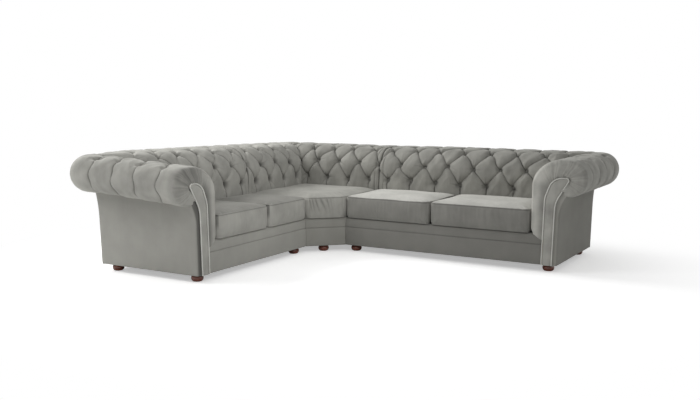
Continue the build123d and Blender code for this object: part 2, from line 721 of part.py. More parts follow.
# The seam rails run from the back rails to the front rail's inner face
front_inside = (BORDER + RAIL + GLUE) * sqrt(2)
seam_front = CORNER_END - CHAMFER + front_inside
corner_block = BACK_RAIL_IN + POST + GLUE + BLOCK / 2
seam_block = CORNER_END - RAIL - GLUE - BLOCK / 2
back_block = -BACK_RAIL_IN - BLOCK / 2
nose_block = (CHAMFER - (BORDER + RAIL + GLUE + BLOCK / 2) * sqrt(2)) / 2
corner_feet = [
    (corner_block, back_block),
    (seam_block, back_block),
    (-back_block, -seam_block),
]
with BuildPart() as corner_base_rails:
    block((BACK_RAIL_IN, CORNER_END), (GLUE - BACK_RAIL_IN, -PANEL_BACK), (RAIL_BOTTOM, RAIL_TOP))
    block((CORNER_END - RAIL, CORNER_END), (seam_front + RAIL, -BACK_RAIL_IN), (RAIL_BOTTOM, RAIL_TOP))
    block((PANEL_BACK, BACK_RAIL_IN - GLUE), (-CORNER_END, -PANEL_BACK), (RAIL_BOTTOM, RAIL_TOP))
    block((BACK_RAIL_IN, -seam_front - RAIL), (-CORNER_END, RAIL - CORNER_END), (RAIL_BOTTOM, RAIL_TOP))
    foot_blocks(corner_feet)
    foot_blocks([(nose_block, -nose_block)], 45)
save("corner_base_rails", corner_base_rails)

corner_first = BACK_FORMER + STILE
corner_last = CORNER_END - RAIL - GLUE - STILE
with BuildPart() as corner_stiles:
    board_foot = RAIL_BOTTOM + BLOCK_HEIGHT + GLUE
    for at in (corner_first, corner_last):
        place = BACK_RUN.offset(at)
        extrude(former_section(place, BACK_THICK, BACK_RADIUS, board_foot), amount=STILE)
        extrude(slat_section(place, BACK_THICK, BACK_RADIUS, GLUE), amount=STILE, mode=Mode.SUBTRACT)
        extrude(rail_section(place), amount=STILE, mode=Mode.SUBTRACT)
    mirror(about=DIAGONAL)
    post = (BACK_RAIL_IN, BACK_RAIL_IN + POST)
    block(post, (-post[1], -post[0]), (RAIL_BOTTOM, PANEL_TOP))
save("corner_stiles", corner_stiles)

with BuildPart() as corner_slats:
    slat_from = BACK_FORMER + GLUE
    ends = slat_section(BACK_RUN.offset(slat_from), BACK_THICK, BACK_RADIUS, 0)
    extrude(ends, amount=CORNER_END - slat_from)
    mirror(about=DIAGONAL)
save("corner_slats", corner_slats)

with BuildPart() as corner_webbing:
    strap_from = corner_first + STILE
    straps = max(1, int((CHAMFER - CORNER_END - front_inside - strap_from) / WEB_PITCH))
    step = (CHAMFER - CORNER_END - front_inside - strap_from) / straps
    for i in range(straps):
        middle = strap_from + step * (i + 0.5)
        across = (middle - WEB_WIDTH / 2, middle + WEB_WIDTH / 2)
        block(across, (-CORNER_END, -PANEL_BACK), (RAIL_TOP, RAIL_TOP + WEB))
save("corner_webbing", corner_webbing)


def corner_outline(inset, front):
    """Five-sided plan inside the two backs, with its cut-off front a depth behind the face."""
    reach = CHAMFER - front * sqrt(2) - CORNER_END
    return [
        (inset, -inset),
        (inset, -CORNER_END),
        (reach, -CORNER_END),
        (CORNER_END, -reach),
        (CORNER_END, -inset),
    ]


with BuildPart() as corner_seat_deck:
    with BuildSketch(Plane.XY.offset(RAIL_TOP + WEB)):
        Polygon(*corner_outline(BACK_FORMER + GLUE, BORDER), align=None)
    extrude(amount=DECK)
save("corner_seat_deck", corner_seat_deck)

# The border is made over length along the cut-off front and trimmed at both seams
with BuildPart() as corner_front_border:
    nose = Plane(origin=(CHAMFER / 2, -CHAMFER / 2, 0), x_dir=(-1, 1, 0), z_dir=(1, 1, 0))
    extrude(border_section(nose), amount=CORNER_SIDE, both=True)
    with BuildSketch(Plane.XY):
        Polygon((0, 0), (0, -CORNER_END), (CORNER_END, -CORNER_END), (CORNER_END, 0), align=None)
    extrude(amount=ROLL_HEIGHT, mode=Mode.INTERSECT)
save("corner_front_border", corner_front_border)

corner_count = column_count(CORNER_COLUMN, CORNER_PITCH, CORNER_END)
corner_places = [(0.0, 0.0)]
corner_places += column_shares(CORNER_COLUMN, CORNER_PITCH, corner_count)
last_column = CORNER_COLUMN + CORNER_PITCH * (corner_count - 1)
half_way = last_column + CORNER_PITCH / 4
if half_way < CORNER_END:
    corner_places.append((half_way, 0.5))
corner_places.append((CORNER_END, min(1.0, 2 * (CORNER_END - last_column) / CORNER_PITCH)))
with BuildPart() as corner_inside_back:
    sections = []
    for x, share in corner_places:
        sections.append(pad_section(BACK_RUN.offset(x), BACK_THICK, BACK_RADIUS, share))
    loft(sections, ruled=True)
    far = 2 * BACK_THICK
    with BuildSketch(Plane.XY):
        Polygon((GLUE, 0), (far + GLUE, -far), (GLUE - far, -far), (GLUE - far, 0), align=None)
    extrude(amount=2 * ROLL_HEIGHT, mode=Mode.SUBTRACT)
    revolve(roll_section(BACK_RUN), axis=Axis((0, 0, 0), (0, 0, 1)), revolution_arc=MITRE - MITRE_CLEAR)
save("corner_inside_back_right", corner_inside_back)
save("corner_inside_back_left", corner_inside_back, mirrored=True)

with BuildPart() as corner_outside_back:
    extrude(panel_section(BACK_RUN.offset(-2 * PANEL_FLARE)), amount=CORNER_END + 2 * PANEL_FLARE)
    split(bisect_by=DIAGONAL.offset(GLUE / 2), keep=Keep.TOP)
save("corner_outside_back_right", corner_outside_back)
save("corner_outside_back_left", corner_outside_back, mirrored=True)


def in_corner(at, inward):
    return at > inward + BUTTON_RADIUS


corner_row = (CORNER_COLUMN, CORNER_PITCH, corner_count)
corner_seats = button_seats(BACK_RUN, BACK_THICK, BACK_RADIUS, *corner_row, in_corner)
with BuildPart() as corner_buttons:
    with Locations(*corner_seats):
        add(button.part)
    mirror(about=DIAGONAL)
save("corner_buttons", corner_buttons)

with BuildPart() as corner_cushion:
    loft(cushion_sections(corner_outline(BACK_THICK + PAD_SWELL, -CUSHION_OVERHANG)), ruled=True)
save("corner_cushion", corner_cushion)

corner_cover = corner_outline(PANEL_BACK, BORDER)
stand("corner", False, corner_feet + [(nose_block, -nose_block)], corner_cover)

# Hooks under both seams, open upwards
with BuildPart() as corner_connectors:
    for from_back in HOOKS:
        wide = (-from_back - HOOK_WIDTH / 2, HOOK_WIDTH / 2 - from_back)
        leg = CORNER_END - HOOK_PLATE
        lip = CORNER_END + HOOK_MOUTH
        block((CORNER_END - HOOK_REACH, CORNER_END), wide, (FOOT_HEIGHT - HOOK_PLATE, FOOT_HEIGHT))
        block((leg, CORNER_END), wide, (HOOK_FLOOR, FOOT_HEIGHT))
        block((leg, lip + HOOK_PLATE), wide, (HOOK_FLOOR, HOOK_FLOOR + HOOK_PLATE))
        block((lip, lip + HOOK_PLATE), wide, (HOOK_FLOOR, HOOK_FLOOR + HOOK_LIP))
    mirror(about=DIAGONAL)
save("corner_connectors", corner_connectors)
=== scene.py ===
from math import cos, pi, radians, sin, sqrt

import bmesh
import bpy
import numpy as np
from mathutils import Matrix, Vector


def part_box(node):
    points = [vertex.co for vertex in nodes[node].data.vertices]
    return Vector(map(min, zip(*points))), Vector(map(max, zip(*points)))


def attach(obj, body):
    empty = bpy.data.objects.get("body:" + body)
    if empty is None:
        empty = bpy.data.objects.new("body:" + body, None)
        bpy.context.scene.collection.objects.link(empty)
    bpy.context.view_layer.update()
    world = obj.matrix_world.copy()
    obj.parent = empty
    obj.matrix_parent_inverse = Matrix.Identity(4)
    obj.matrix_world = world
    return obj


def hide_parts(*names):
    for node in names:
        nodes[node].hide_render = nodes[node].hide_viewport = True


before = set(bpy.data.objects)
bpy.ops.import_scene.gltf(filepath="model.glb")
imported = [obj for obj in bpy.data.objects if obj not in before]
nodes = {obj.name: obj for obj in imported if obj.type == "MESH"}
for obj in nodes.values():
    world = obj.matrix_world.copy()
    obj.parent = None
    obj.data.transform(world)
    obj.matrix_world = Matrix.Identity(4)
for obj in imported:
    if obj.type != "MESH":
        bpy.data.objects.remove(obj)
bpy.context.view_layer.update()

bpy.ops.object.select_all(action="DESELECT")


# Wooden frame: front rails, base rails, scroll boards and slats.
# Planed beech, dowelled and glued, out of sight under the padding.
# The solids have its shape, so it only gets its finish here.
def linear(colour):
    """Linear RGBA of an sRGB hex colour."""
    parts = [int(colour[i : i + 2], 16) / 255 for i in (1, 3, 5)]
    return [c / 12.92 if c <= 0.04045 else ((c + 0.055) / 1.055) ** 2.4 for c in parts] + [1.0]


def add_node(material, kind, settings={}, links={}):
    """Add a node to a material, with its settings and its links."""
    made = material.node_tree.nodes.new(kind)
    for key, value in settings.items():
        if isinstance(key, int) or key in made.inputs:
            made.inputs[key].default_value = value
        else:
            setattr(made, key, value)
    for key, source in links.items():
        material.node_tree.links.new(source, made.inputs[key])
    return made


def new_material(name):
    """Empty node material."""
    material = bpy.data.materials.new(name)
    material.use_nodes = True
    material.node_tree.nodes.clear()
    return material


# Planed beech: pale, even, with fine flecks drawn out along the rails
beech = new_material("planed_beech")
spot = add_node(beech, "ShaderNodeTexCoord")
drawn = add_node(beech, "ShaderNodeMapping", {"Scale": (8, 8, 60)}, {"Vector": spot.outputs["Object"]})
fleck = add_node(
    beech, "ShaderNodeTexNoise", {"Scale": 6.0, "Detail": 5.0}, {"Vector": drawn.outputs["Vector"]}
)
board = add_node(
    beech,
    "ShaderNodeMix",
    {"data_type": "RGBA", 6: linear("#C29A6B"), 7: linear("#DDBB8C")},
    {0: fleck.outputs["Fac"]},
)
lift = add_node(
    beech, "ShaderNodeBump", {"Strength": 0.15, "Distance": 0.0006}, {"Height": fleck.outputs["Fac"]}
)
shader = add_node(
    beech,
    "ShaderNodeBsdfPrincipled",
    {"Roughness": 0.6},
    {"Base Color": board.outputs[2], "Normal": lift.outputs["Normal"]},
)
add_node(beech, "ShaderNodeOutputMaterial", {}, {"Surface": shader.outputs["BSDF"]})


def refinish(node, material):
    """Give a solid of the frame its finish."""
    nodes[node].data.materials.clear()
    nodes[node].data.materials.append(material)


for unit in ("left", "right"):
    for part in ("front_rail", "base_rails", "back_stiles", "arm_stiles", "slats"):
        refinish(f"{unit}_{part}", beech)
for part in ("front_rail", "base_rails", "stiles", "slats"):
    refinish(f"corner_{part}", beech)


# Bun feet: turned mahogany, stained red-brown and lacquered, screwed on by a stud.
# The solids have the turned shape; the lacquer over the grain is what shows.
mahogany = new_material("lacquered_mahogany")
spot = add_node(mahogany, "ShaderNodeTexCoord")
drawn = add_node(
    mahogany, "ShaderNodeMapping", {"Scale": (40, 240, 40)}, {"Vector": spot.outputs["Object"]}
)
grain = add_node(
    mahogany,
    "ShaderNodeTexNoise",
    {"Scale": 1.0, "Detail": 6.0, "Distortion": 0.6},
    {"Vector": drawn.outputs["Vector"]},
)
stain = add_node(
    mahogany,
    "ShaderNodeMix",
    {"data_type": "RGBA", 6: linear("#4A1F13"), 7: linear("#8E4A33")},
    {0: grain.outputs["Fac"]},
)
shader = add_node(
    mahogany,
    "ShaderNodeBsdfPrincipled",
    {"Roughness": 0.35, "Coat Weight": 0.6, "Coat Roughness": 0.12},
    {"Base Color": stain.outputs[2]},
)
add_node(mahogany, "ShaderNodeOutputMaterial", {}, {"Surface": shader.outputs["BSDF"]})

for unit in ("left", "right", "corner"):
    refinish(f"{unit}_feet", mahogany)


# Studs and hook connectors: pressed steel with a bright, faintly mottled coat of zinc.
# The studs hold the feet to the rails; the hooks and tongues hold the units together.
zinc = new_material("zinc_plated_steel")
spot = add_node(zinc, "ShaderNodeTexCoord")
mottle = add_node(
    zinc, "ShaderNodeTexNoise", {"Scale": 120.0, "Detail": 3.0}, {"Vector": spot.outputs["Object"]}
)
bloom = add_node(
    zinc,
    "ShaderNodeMapRange",
    {"To Min": 0.3, "To Max": 0.5},
    {"Value": mottle.outputs["Fac"]},
)
tone = add_node(
    zinc,
    "ShaderNodeMix",
    {"data_type": "RGBA", 6: linear("#A9ADB0"), 7: linear("#C6CACC")},
    {0: mottle.outputs["Fac"]},
)
shader = add_node(
    zinc,
    "ShaderNodeBsdfPrincipled",
    {"Metallic": 1.0},
    {"Base Color": tone.outputs[2], "Roughness": bloom.outputs["Result"]},
)
add_node(zinc, "ShaderNodeOutputMaterial", {}, {"Surface": shader.outputs["BSDF"]})

for unit in ("left", "right", "corner"):
    refinish(f"{unit}_foot_bolts", zinc)
    refinish(f"{unit}_connectors", zinc)


# Seat webbing: woven jute straps, 60 mm wide, tacked over the rails under each seat deck.
# Each unit's straps are one copy of the solids, with more points along them.
UNIT_BODY = {"left": "left_unit", "right": "right_unit", "corner": "corner_unit"}
STRAP_CUTS = 7


def copy_solid(node, name):
    """New piece with the merged mesh of a solid, selected in object mode."""
    bpy.ops.object.select_all(action="DESELECT")
    piece = bpy.data.objects.new(name, nodes[node].data.copy())
    bpy.context.collection.objects.link(piece)
    bpy.context.view_layer.objects.active = piece
    piece.select_set(True)
    piece.data.materials.clear()
    bpy.ops.object.mode_set(mode="EDIT")
    bpy.ops.mesh.select_all(action="SELECT")
    bpy.ops.mesh.remove_doubles(threshold=0.00001)
    bpy.ops.mesh.dissolve_limited(angle_limit=radians(1))
    bpy.ops.object.mode_set(mode="OBJECT")
    return piece


# Jute webbing: brown-grey plain weave, drawn at 4 mm so that it shows
jute = new_material("jute_webbing")
spot = add_node(jute, "ShaderNodeTexCoord")
weave = add_node(jute, "ShaderNodeTexChecker", {"Scale": 250.0}, {"Vector": spot.outputs["Object"]})
fuzz = add_node(
    jute, "ShaderNodeTexNoise", {"Scale": 300.0, "Detail": 2.0}, {"Vector": spot.outputs["Object"]}
)
yarn = add_node(
    jute,
    "ShaderNodeMix",
    {"data_type": "RGBA", 6: linear("#8A7250"), 7: linear("#A88F68")},
    {0: fuzz.outputs["Fac"]},
)
lift = add_node(
    jute, "ShaderNodeBump", {"Strength": 0.5, "Distance": 0.0008}, {"Height": weave.outputs["Fac"]}
)
shader = add_node(
    jute,
    "ShaderNodeBsdfPrincipled",
    {"Roughness": 0.9},
    {"Base Color": yarn.outputs[2], "Normal": lift.outputs["Normal"]},
)
add_node(jute, "ShaderNodeOutputMaterial", {}, {"Surface": shader.outputs["BSDF"]})

for unit, body in UNIT_BODY.items():
    straps = copy_solid(f"{unit}_webbing", f"{unit}_webbing_straps")
    bpy.ops.object.mode_set(mode="EDIT")
    bpy.ops.mesh.select_all(action="SELECT")
    bpy.ops.mesh.subdivide(number_cuts=STRAP_CUTS)
    bpy.ops.object.mode_set(mode="OBJECT")
    straps.data.materials.append(jute)
    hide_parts(f"{unit}_webbing")
    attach(straps, body)


# Seat decks: a felt and foam platform under the loose cushions, in lining cloth.
# Each lies on the webbing and is tacked to the rails; its edges are soft.
DECK_EDGE = 0.007
lining = new_material("deck_lining_cloth")
spot = add_node(lining, "ShaderNodeTexCoord")
thread = add_node(
    lining, "ShaderNodeTexNoise", {"Scale": 500.0, "Detail": 2.0}, {"Vector": spot.outputs["Object"]}
)
shade = add_node(
    lining,
    "ShaderNodeMix",
    {"data_type": "RGBA", 6: linear("#4C4C4A"), 7: linear("#636360")},
    {0: thread.outputs["Fac"]},
)
lift = add_node(
    lining, "ShaderNodeBump", {"Strength": 0.3, "Distance": 0.0005}, {"Height": thread.outputs["Fac"]}
)
shader = add_node(
    lining,
    "ShaderNodeBsdfPrincipled",
    {"Roughness": 0.95},
    {"Base Color": shade.outputs[2], "Normal": lift.outputs["Normal"]},
)
add_node(lining, "ShaderNodeOutputMaterial", {}, {"Surface": shader.outputs["BSDF"]})


def shape_with(piece, kind, **settings):
    """Add a modifier to the active piece, with its settings, and apply it."""
    bpy.ops.object.modifier_add(type=kind)
    modifier = piece.modifiers[-1]
    for key, value in settings.items():
        setattr(modifier, key, value)
    bpy.ops.object.modifier_apply(modifier=modifier.name)


for unit, body in UNIT_BODY.items():
    deck = copy_solid(f"{unit}_seat_deck", f"{unit}_seat_deck_pad")
    shape_with(deck, "BEVEL", width=DECK_EDGE, segments=3)
    bpy.ops.object.shade_smooth_by_angle(angle=radians(50))
    deck.data.materials.append(lining)
    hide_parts(f"{unit}_seat_deck")
    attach(deck, body)


# Dust covers: black bonded cloth stretched under each base and stapled to the rails.
# One thin sheet per unit, cut to the plan of the rails, sagging a touch in the middle.
CLOTH_THICK = 0.0008
CLOTH_SAG = 0.003
CLOTH_CUTS = 15
NOSE_CUT = 0.24
dust = new_material("black_dust_cloth")
spot = add_node(dust, "ShaderNodeTexCoord")
fibre = add_node(
    dust, "ShaderNodeTexNoise", {"Scale": 400.0, "Detail": 2.0}, {"Vector": spot.outputs["Object"]}
)
black = add_node(
    dust,
    "ShaderNodeMix",
    {"data_type": "RGBA", 6: linear("#161616"), 7: linear("#262626")},
    {0: fibre.outputs["Fac"]},
)
lift = add_node(
    dust, "ShaderNodeBump", {"Strength": 0.2, "Distance": 0.0003}, {"Height": fibre.outputs["Fac"]}
)
shader = add_node(
    dust,
    "ShaderNodeBsdfPrincipled",
    {"Roughness": 0.95},
    {"Base Color": black.outputs[2], "Normal": lift.outputs["Normal"]},
)
add_node(dust, "ShaderNodeOutputMaterial", {}, {"Surface": shader.outputs["BSDF"]})


def set_points(piece, points):
    """Put a mesh's vertices at points given in metres."""
    piece.data.vertices.foreach_set("co", np.ascontiguousarray(points, dtype=np.float32).ravel())
    piece.data.update()


def get_points(piece):
    """The mesh's vertices as an array of points."""
    points = np.empty(len(piece.data.vertices) * 3, dtype=np.float32)
    piece.data.vertices.foreach_get("co", points)
    return points.reshape(-1, 3).astype(float)


for unit, body in UNIT_BODY.items():
    low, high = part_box(f"{unit}_dust_cover")
    wide, deep = high[0] - low[0], high[1] - low[1]
    bpy.ops.object.select_all(action="DESELECT")
    bpy.ops.mesh.primitive_plane_add(size=1)
    cover = bpy.context.object
    cover.name = f"{unit}_dust_cloth"
    bpy.ops.object.mode_set(mode="EDIT")
    bpy.ops.mesh.subdivide(number_cuts=CLOTH_CUTS)
    if unit == "corner":
        bpy.ops.mesh.select_all(action="SELECT")
        across = NOSE_CUT / wide
        bpy.ops.mesh.bisect(
            plane_co=(0.5 - across, -0.5, 0), plane_no=(1, -1, 0), use_fill=False, clear_outer=True
        )
    bpy.ops.object.mode_set(mode="OBJECT")
    points = get_points(cover)
    flat = points.copy()
    points[:, 0] = low[0] + (flat[:, 0] + 0.5) * wide
    points[:, 1] = low[1] + (flat[:, 1] + 0.5) * deep
    points[:, 2] = high[2] - CLOTH_THICK - CLOTH_SAG * np.cos(pi * flat[:, 0]) * np.cos(pi * flat[:, 1])
    set_points(cover, points)
    shape_with(cover, "SOLIDIFY", thickness=CLOTH_THICK)
    bpy.ops.object.shade_smooth_by_angle(angle=radians(40))
    cover.data.materials.append(dust)
    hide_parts(f"{unit}_dust_cover")
    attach(cover, body)


# Inside backs and arms: deep-buttoned velvet over stitched padding on the scroll boards.
# Between the buttons the cover is pleated into diamonds; pleats run on down to the seat and
# round the roll. Each unit's cover is closed at its seam, and mitred in the corners.
RIGHT_SIDE = 2550.0
LEFT_SIDE = 2175.0
CORNER_SIDE = 1005.0
BASE_DEPTH = 800.0
HALF_GAP = 0.3
DECK = 245.0
ROLL_HEIGHT = 722.0
ROLL_RADIUS = 117.0
ROLL_OUT = 63.0
ROLL_TURN = radians(195)
# Padding of a back and of an arm: how far it stands in, and the radius of its shoulder
BACK = (305.0, 200.0)
ARM = (170.0, 180.0)
SHIFT = (-RIGHT_SIDE / 2, LEFT_SIDE / 2)
# Slope of the roll, in metres: its rise along the left wing and its fall to the left arm's front
WING_RISE = 0.0435
RISE_LENGTH = 1.9
RISE_CURVE = 0.85
RISE_FADE = (1.6, 0.9)
CORNER_DROP = 0.008
ARM_DROP = 0.007
ARM_DROP_AT = (1.9, 2.2)
FRONT_FALL = 0.045
FALL_FROM = 0.1
FALL_LENGTH = 0.7
FALL_AT = (1.5, 2.0)
SLOPE_HEIGHTS = (0.3, 0.52)


def placed(x, y, z, unit):
    """Points in the shared frame, in metres, of points drawn along the right wing in mm."""
    if unit == "left":
        x, y = -y, -x
    return np.stack([x + SHIFT[0], y + SHIFT[1], z + 0 * x], axis=-1).reshape(-1, 3) / 1000


def ease(low, high, value):
    """Smooth step from 0 at low to 1 at high."""
    share = np.clip((value - low) / (high - low), 0, 1)
    return share * share * (3 - 2 * share)


def bell(off, width):
    """1 in the middle of a band, falling off alike to both sides."""
    return np.exp(-((off / width) ** 2))


def lifted(points):
    """Points with the roll's slope: up along the left wing and down to the left arm's front."""
    down, across = SHIFT[1] / 1000 - points[:, 1], points[:, 0] - SHIFT[0] / 1000
    rise = WING_RISE * np.clip(down / RISE_LENGTH, 0, 1) ** RISE_CURVE
    rise = (rise - ARM_DROP * ease(*ARM_DROP_AT, down) - CORNER_DROP) * ease(*RISE_FADE, across)
    fall = FRONT_FALL * np.clip((across - FALL_FROM) / FALL_LENGTH, 0, 1) * ease(*FALL_AT, down)
    points[:, 2] += (rise - fall) * ease(*SLOPE_HEIGHTS, points[:, 2])
    return points


def on_crown(form, along, depth):
    """Outward and upward place on the padding, a way along its crown and a depth below it."""
    thick, radius = form
    centre = radius - thick
    rise = ROLL_HEIGHT - radius - DECK
    turn = rise + radius * pi / 2
    flat = turn + ROLL_OUT - centre
    bend = np.clip((along - rise) / radius, 0, pi / 2)
    roll = np.clip((along - flat) / ROLL_RADIUS, 0, None)
    out = np.where(along < turn, centre - (radius - depth) * np.cos(bend), centre + along - turn)
    out = np.where(along < flat, out, ROLL_OUT + (ROLL_RADIUS - depth) * np.sin(roll))
    up = np.where(along < rise, DECK + along, ROLL_HEIGHT - radius + (radius - depth) * np.sin(bend))
    up = np.where(along < flat, up, ROLL_HEIGHT - ROLL_RADIUS + (ROLL_RADIUS - depth) * np.cos(roll))
    return out, up


def crown_length(form):
    """Length of the crown from the deck to where the roll ends underneath."""
    thick, radius = form
    shoulder = ROLL_HEIGHT - radius - DECK + radius * pi / 2
    return shoulder + ROLL_OUT - radius + thick + ROLL_RADIUS * ROLL_TURN


# Rows of buttons, by their way up the crown from the deck, and the folds between them
ROW_1, ROW_2, ROW_3, ROW_4 = 225.0, 357.0, 510.0, 660.0
BUTTON_DEPTH = 47.0
DIMPLE = 1.2
FOLD_DEPTH = 23.0
FOLD_SPREAD = (0.85, 1.15)
FOLD_REACH = 78.0
FOLD_SLOPE = 0.4
FOLD_CURVE = 1.7
CREASE = 7.0
OVERLAP = 6.5
# Painted shade in a fold's crease, strength and width: where the fold slants against the side of the
# painted light, and where it slants with it
AGAINST_PAINTED_LIGHT = (0.9, 5.0)
WITH_PAINTED_LIGHT = (0.4, 4.0)
MID_FOLD_SHADE = 0.65
# Painted highlight on the edge beside a crease: its strength, how far off it lies, its width
GLINT = 0.5
GLINT_SPREAD = (0.3, 1.3)
GLINT_OFF = 11.0
GLINT_WIDTH = 6.0
# Straight pleats, from the upper buttons over the roll and from the lower ones to the seat:
# how soon the button's pit runs out along them, their reach, the painted shade in them and the painted
# highlight beside a seat pleat
PLEAT_DEPTH = 12.0
PLEAT_CREASE = 4.5
ROLL_PLEAT_FADE = 7.0
ROLL_PLEAT_PIT = 60.0
ROLL_PLEAT_REACH = 0.48
ROLL_PLEAT_SHADE = (0.75, 3.5)
SEAT_PLEAT_FADE = 3.0
SEAT_PLEAT_REACH = 0.45
SEAT_PLEAT_SHADE = (0.8, 5.5)
SEAT_PLEAT_GLINT = 0.45
# Painted shade in a button's pit and a painted highlight on a spot beside it: strength and radius, and how
# far they lie off its middle
PIT_SHADE = (1.25, 18.0)
PIT_OFF = 5.0
PIT_FLAT = 0.8
SPOT_GLINT = (0.45, 13.0)
SPOT_OFF = (22.0, 5.0)
# The tug above a button: how far it leans and reaches, its depth and crease, the painted shade in it
TUG_LEAN = (-10, 10)
TUG_REACH = (40, 80)
TUG_DEPTH = 4.0
TUG_CREASE = 5.0
TUG_SHADE = (0.75, 4.5)
# Small wrinkles round a button, shallower on the roll; their painted shade and painted highlight go by
# their depth
WRINKLES = 6
WRINKLE_REACH = (35, 105)
WRINKLE_WIDTH = (3.5, 7)
WRINKLE_DEPTH = (1.5, 7.5)
WRINKLE_ON_ROLL = 0.6
WRINKLE_SHADE = (0.1, 5.0)
WRINKLE_GLINT = (0.12, 10.0, 5.0)
# Unevenness of the stuffing, and how far the hand-laid folds stray from their chalk lines
STUFFING_COUNT = 7
STUFFING_WAVES = (60, 170)
STUFFING_DEPTH = 0.8
STRAY = 3.2
STRAY_COUNT = 12
STRAY_WAVES = (110, 420)
STRAY_FROM = (60, 200)
STRAY_UNTIL = (760, 640)


def fold_shape(gap, reach, crease):
    """Depth share beside a fold: 1 in its sharp crease, then a slope that ends at its reach."""
    slope = FOLD_SLOPE * np.clip(1 - gap / reach, 0, 1) ** FOLD_CURVE
    return slope + (1 - FOLD_SLOPE) * np.exp(-gap / crease)


def beside(run, along, start, end):
    """Distance from a straight fold, the share of the way along it, and whether it's to its left."""
    dx, dy = end[0] - start[0], end[1] - start[1]
    share = np.clip(((run - start[0]) * dx + (along - start[1]) * dy) / (dx * dx + dy * dy), 0, 1)
    left = (along - start[1]) * dx - (run - start[0]) * dy > 0
    return np.hypot(run - start[0] - share * dx, along - start[1] - share * dy), share, left


def strayed(run, along, seed):
    """How far the hand-laid folds stray from their chalk lines, in both ways."""
    draw = np.random.default_rng(seed + 100)
    off = [np.zeros_like(run), np.zeros_like(run)]
    for i in range(STRAY_COUNT):
        angle, wave, phase = draw.uniform(0, 2 * pi), draw.uniform(*STRAY_WAVES), draw.uniform(0, 2 * pi)
        way = run * cos(angle) + along * sin(angle)
        off[i % 2] = off[i % 2] + STRAY * np.sin(2 * pi * way / wave + phase)
    return off[0], off[1] * ease(*STRAY_FROM, along) * ease(*STRAY_UNTIL, along)


def diamond_fold(run, along, start, end, lean, draw):
    """Depth, painted shade in the crease and painted highlight on the edge of the fold between two buttons.
    """
    gap, share, left = beside(run, along, start, end)
    off_middle = np.abs(2 * share - 1)
    low = FOLD_DEPTH * draw.uniform(*FOLD_SPREAD)
    low = low + (BUTTON_DEPTH - low) * off_middle**3
    upper = left == (end[0] > start[0])
    lap = np.where(upper, OVERLAP * np.exp(-gap / CREASE) * np.sin(pi * share), 0)
    depth = low * fold_shape(gap, FOLD_REACH, CREASE) - lap
    across, up = end[0] - start[0], end[1] - start[1]
    strong, width = AGAINST_PAINTED_LIGHT if across * up * lean < 0 else WITH_PAINTED_LIGHT
    dark = strong * (MID_FOLD_SHADE + (1 - MID_FOLD_SHADE) * off_middle) * bell(gap, width)
    slant = start[0] + (along - start[1]) * across / up
    glint = GLINT * strong * draw.uniform(*GLINT_SPREAD) * bell(gap - GLINT_OFF, GLINT_WIDTH)
    return depth, dark, np.where((run - slant) * lean < 0, glint, 0)


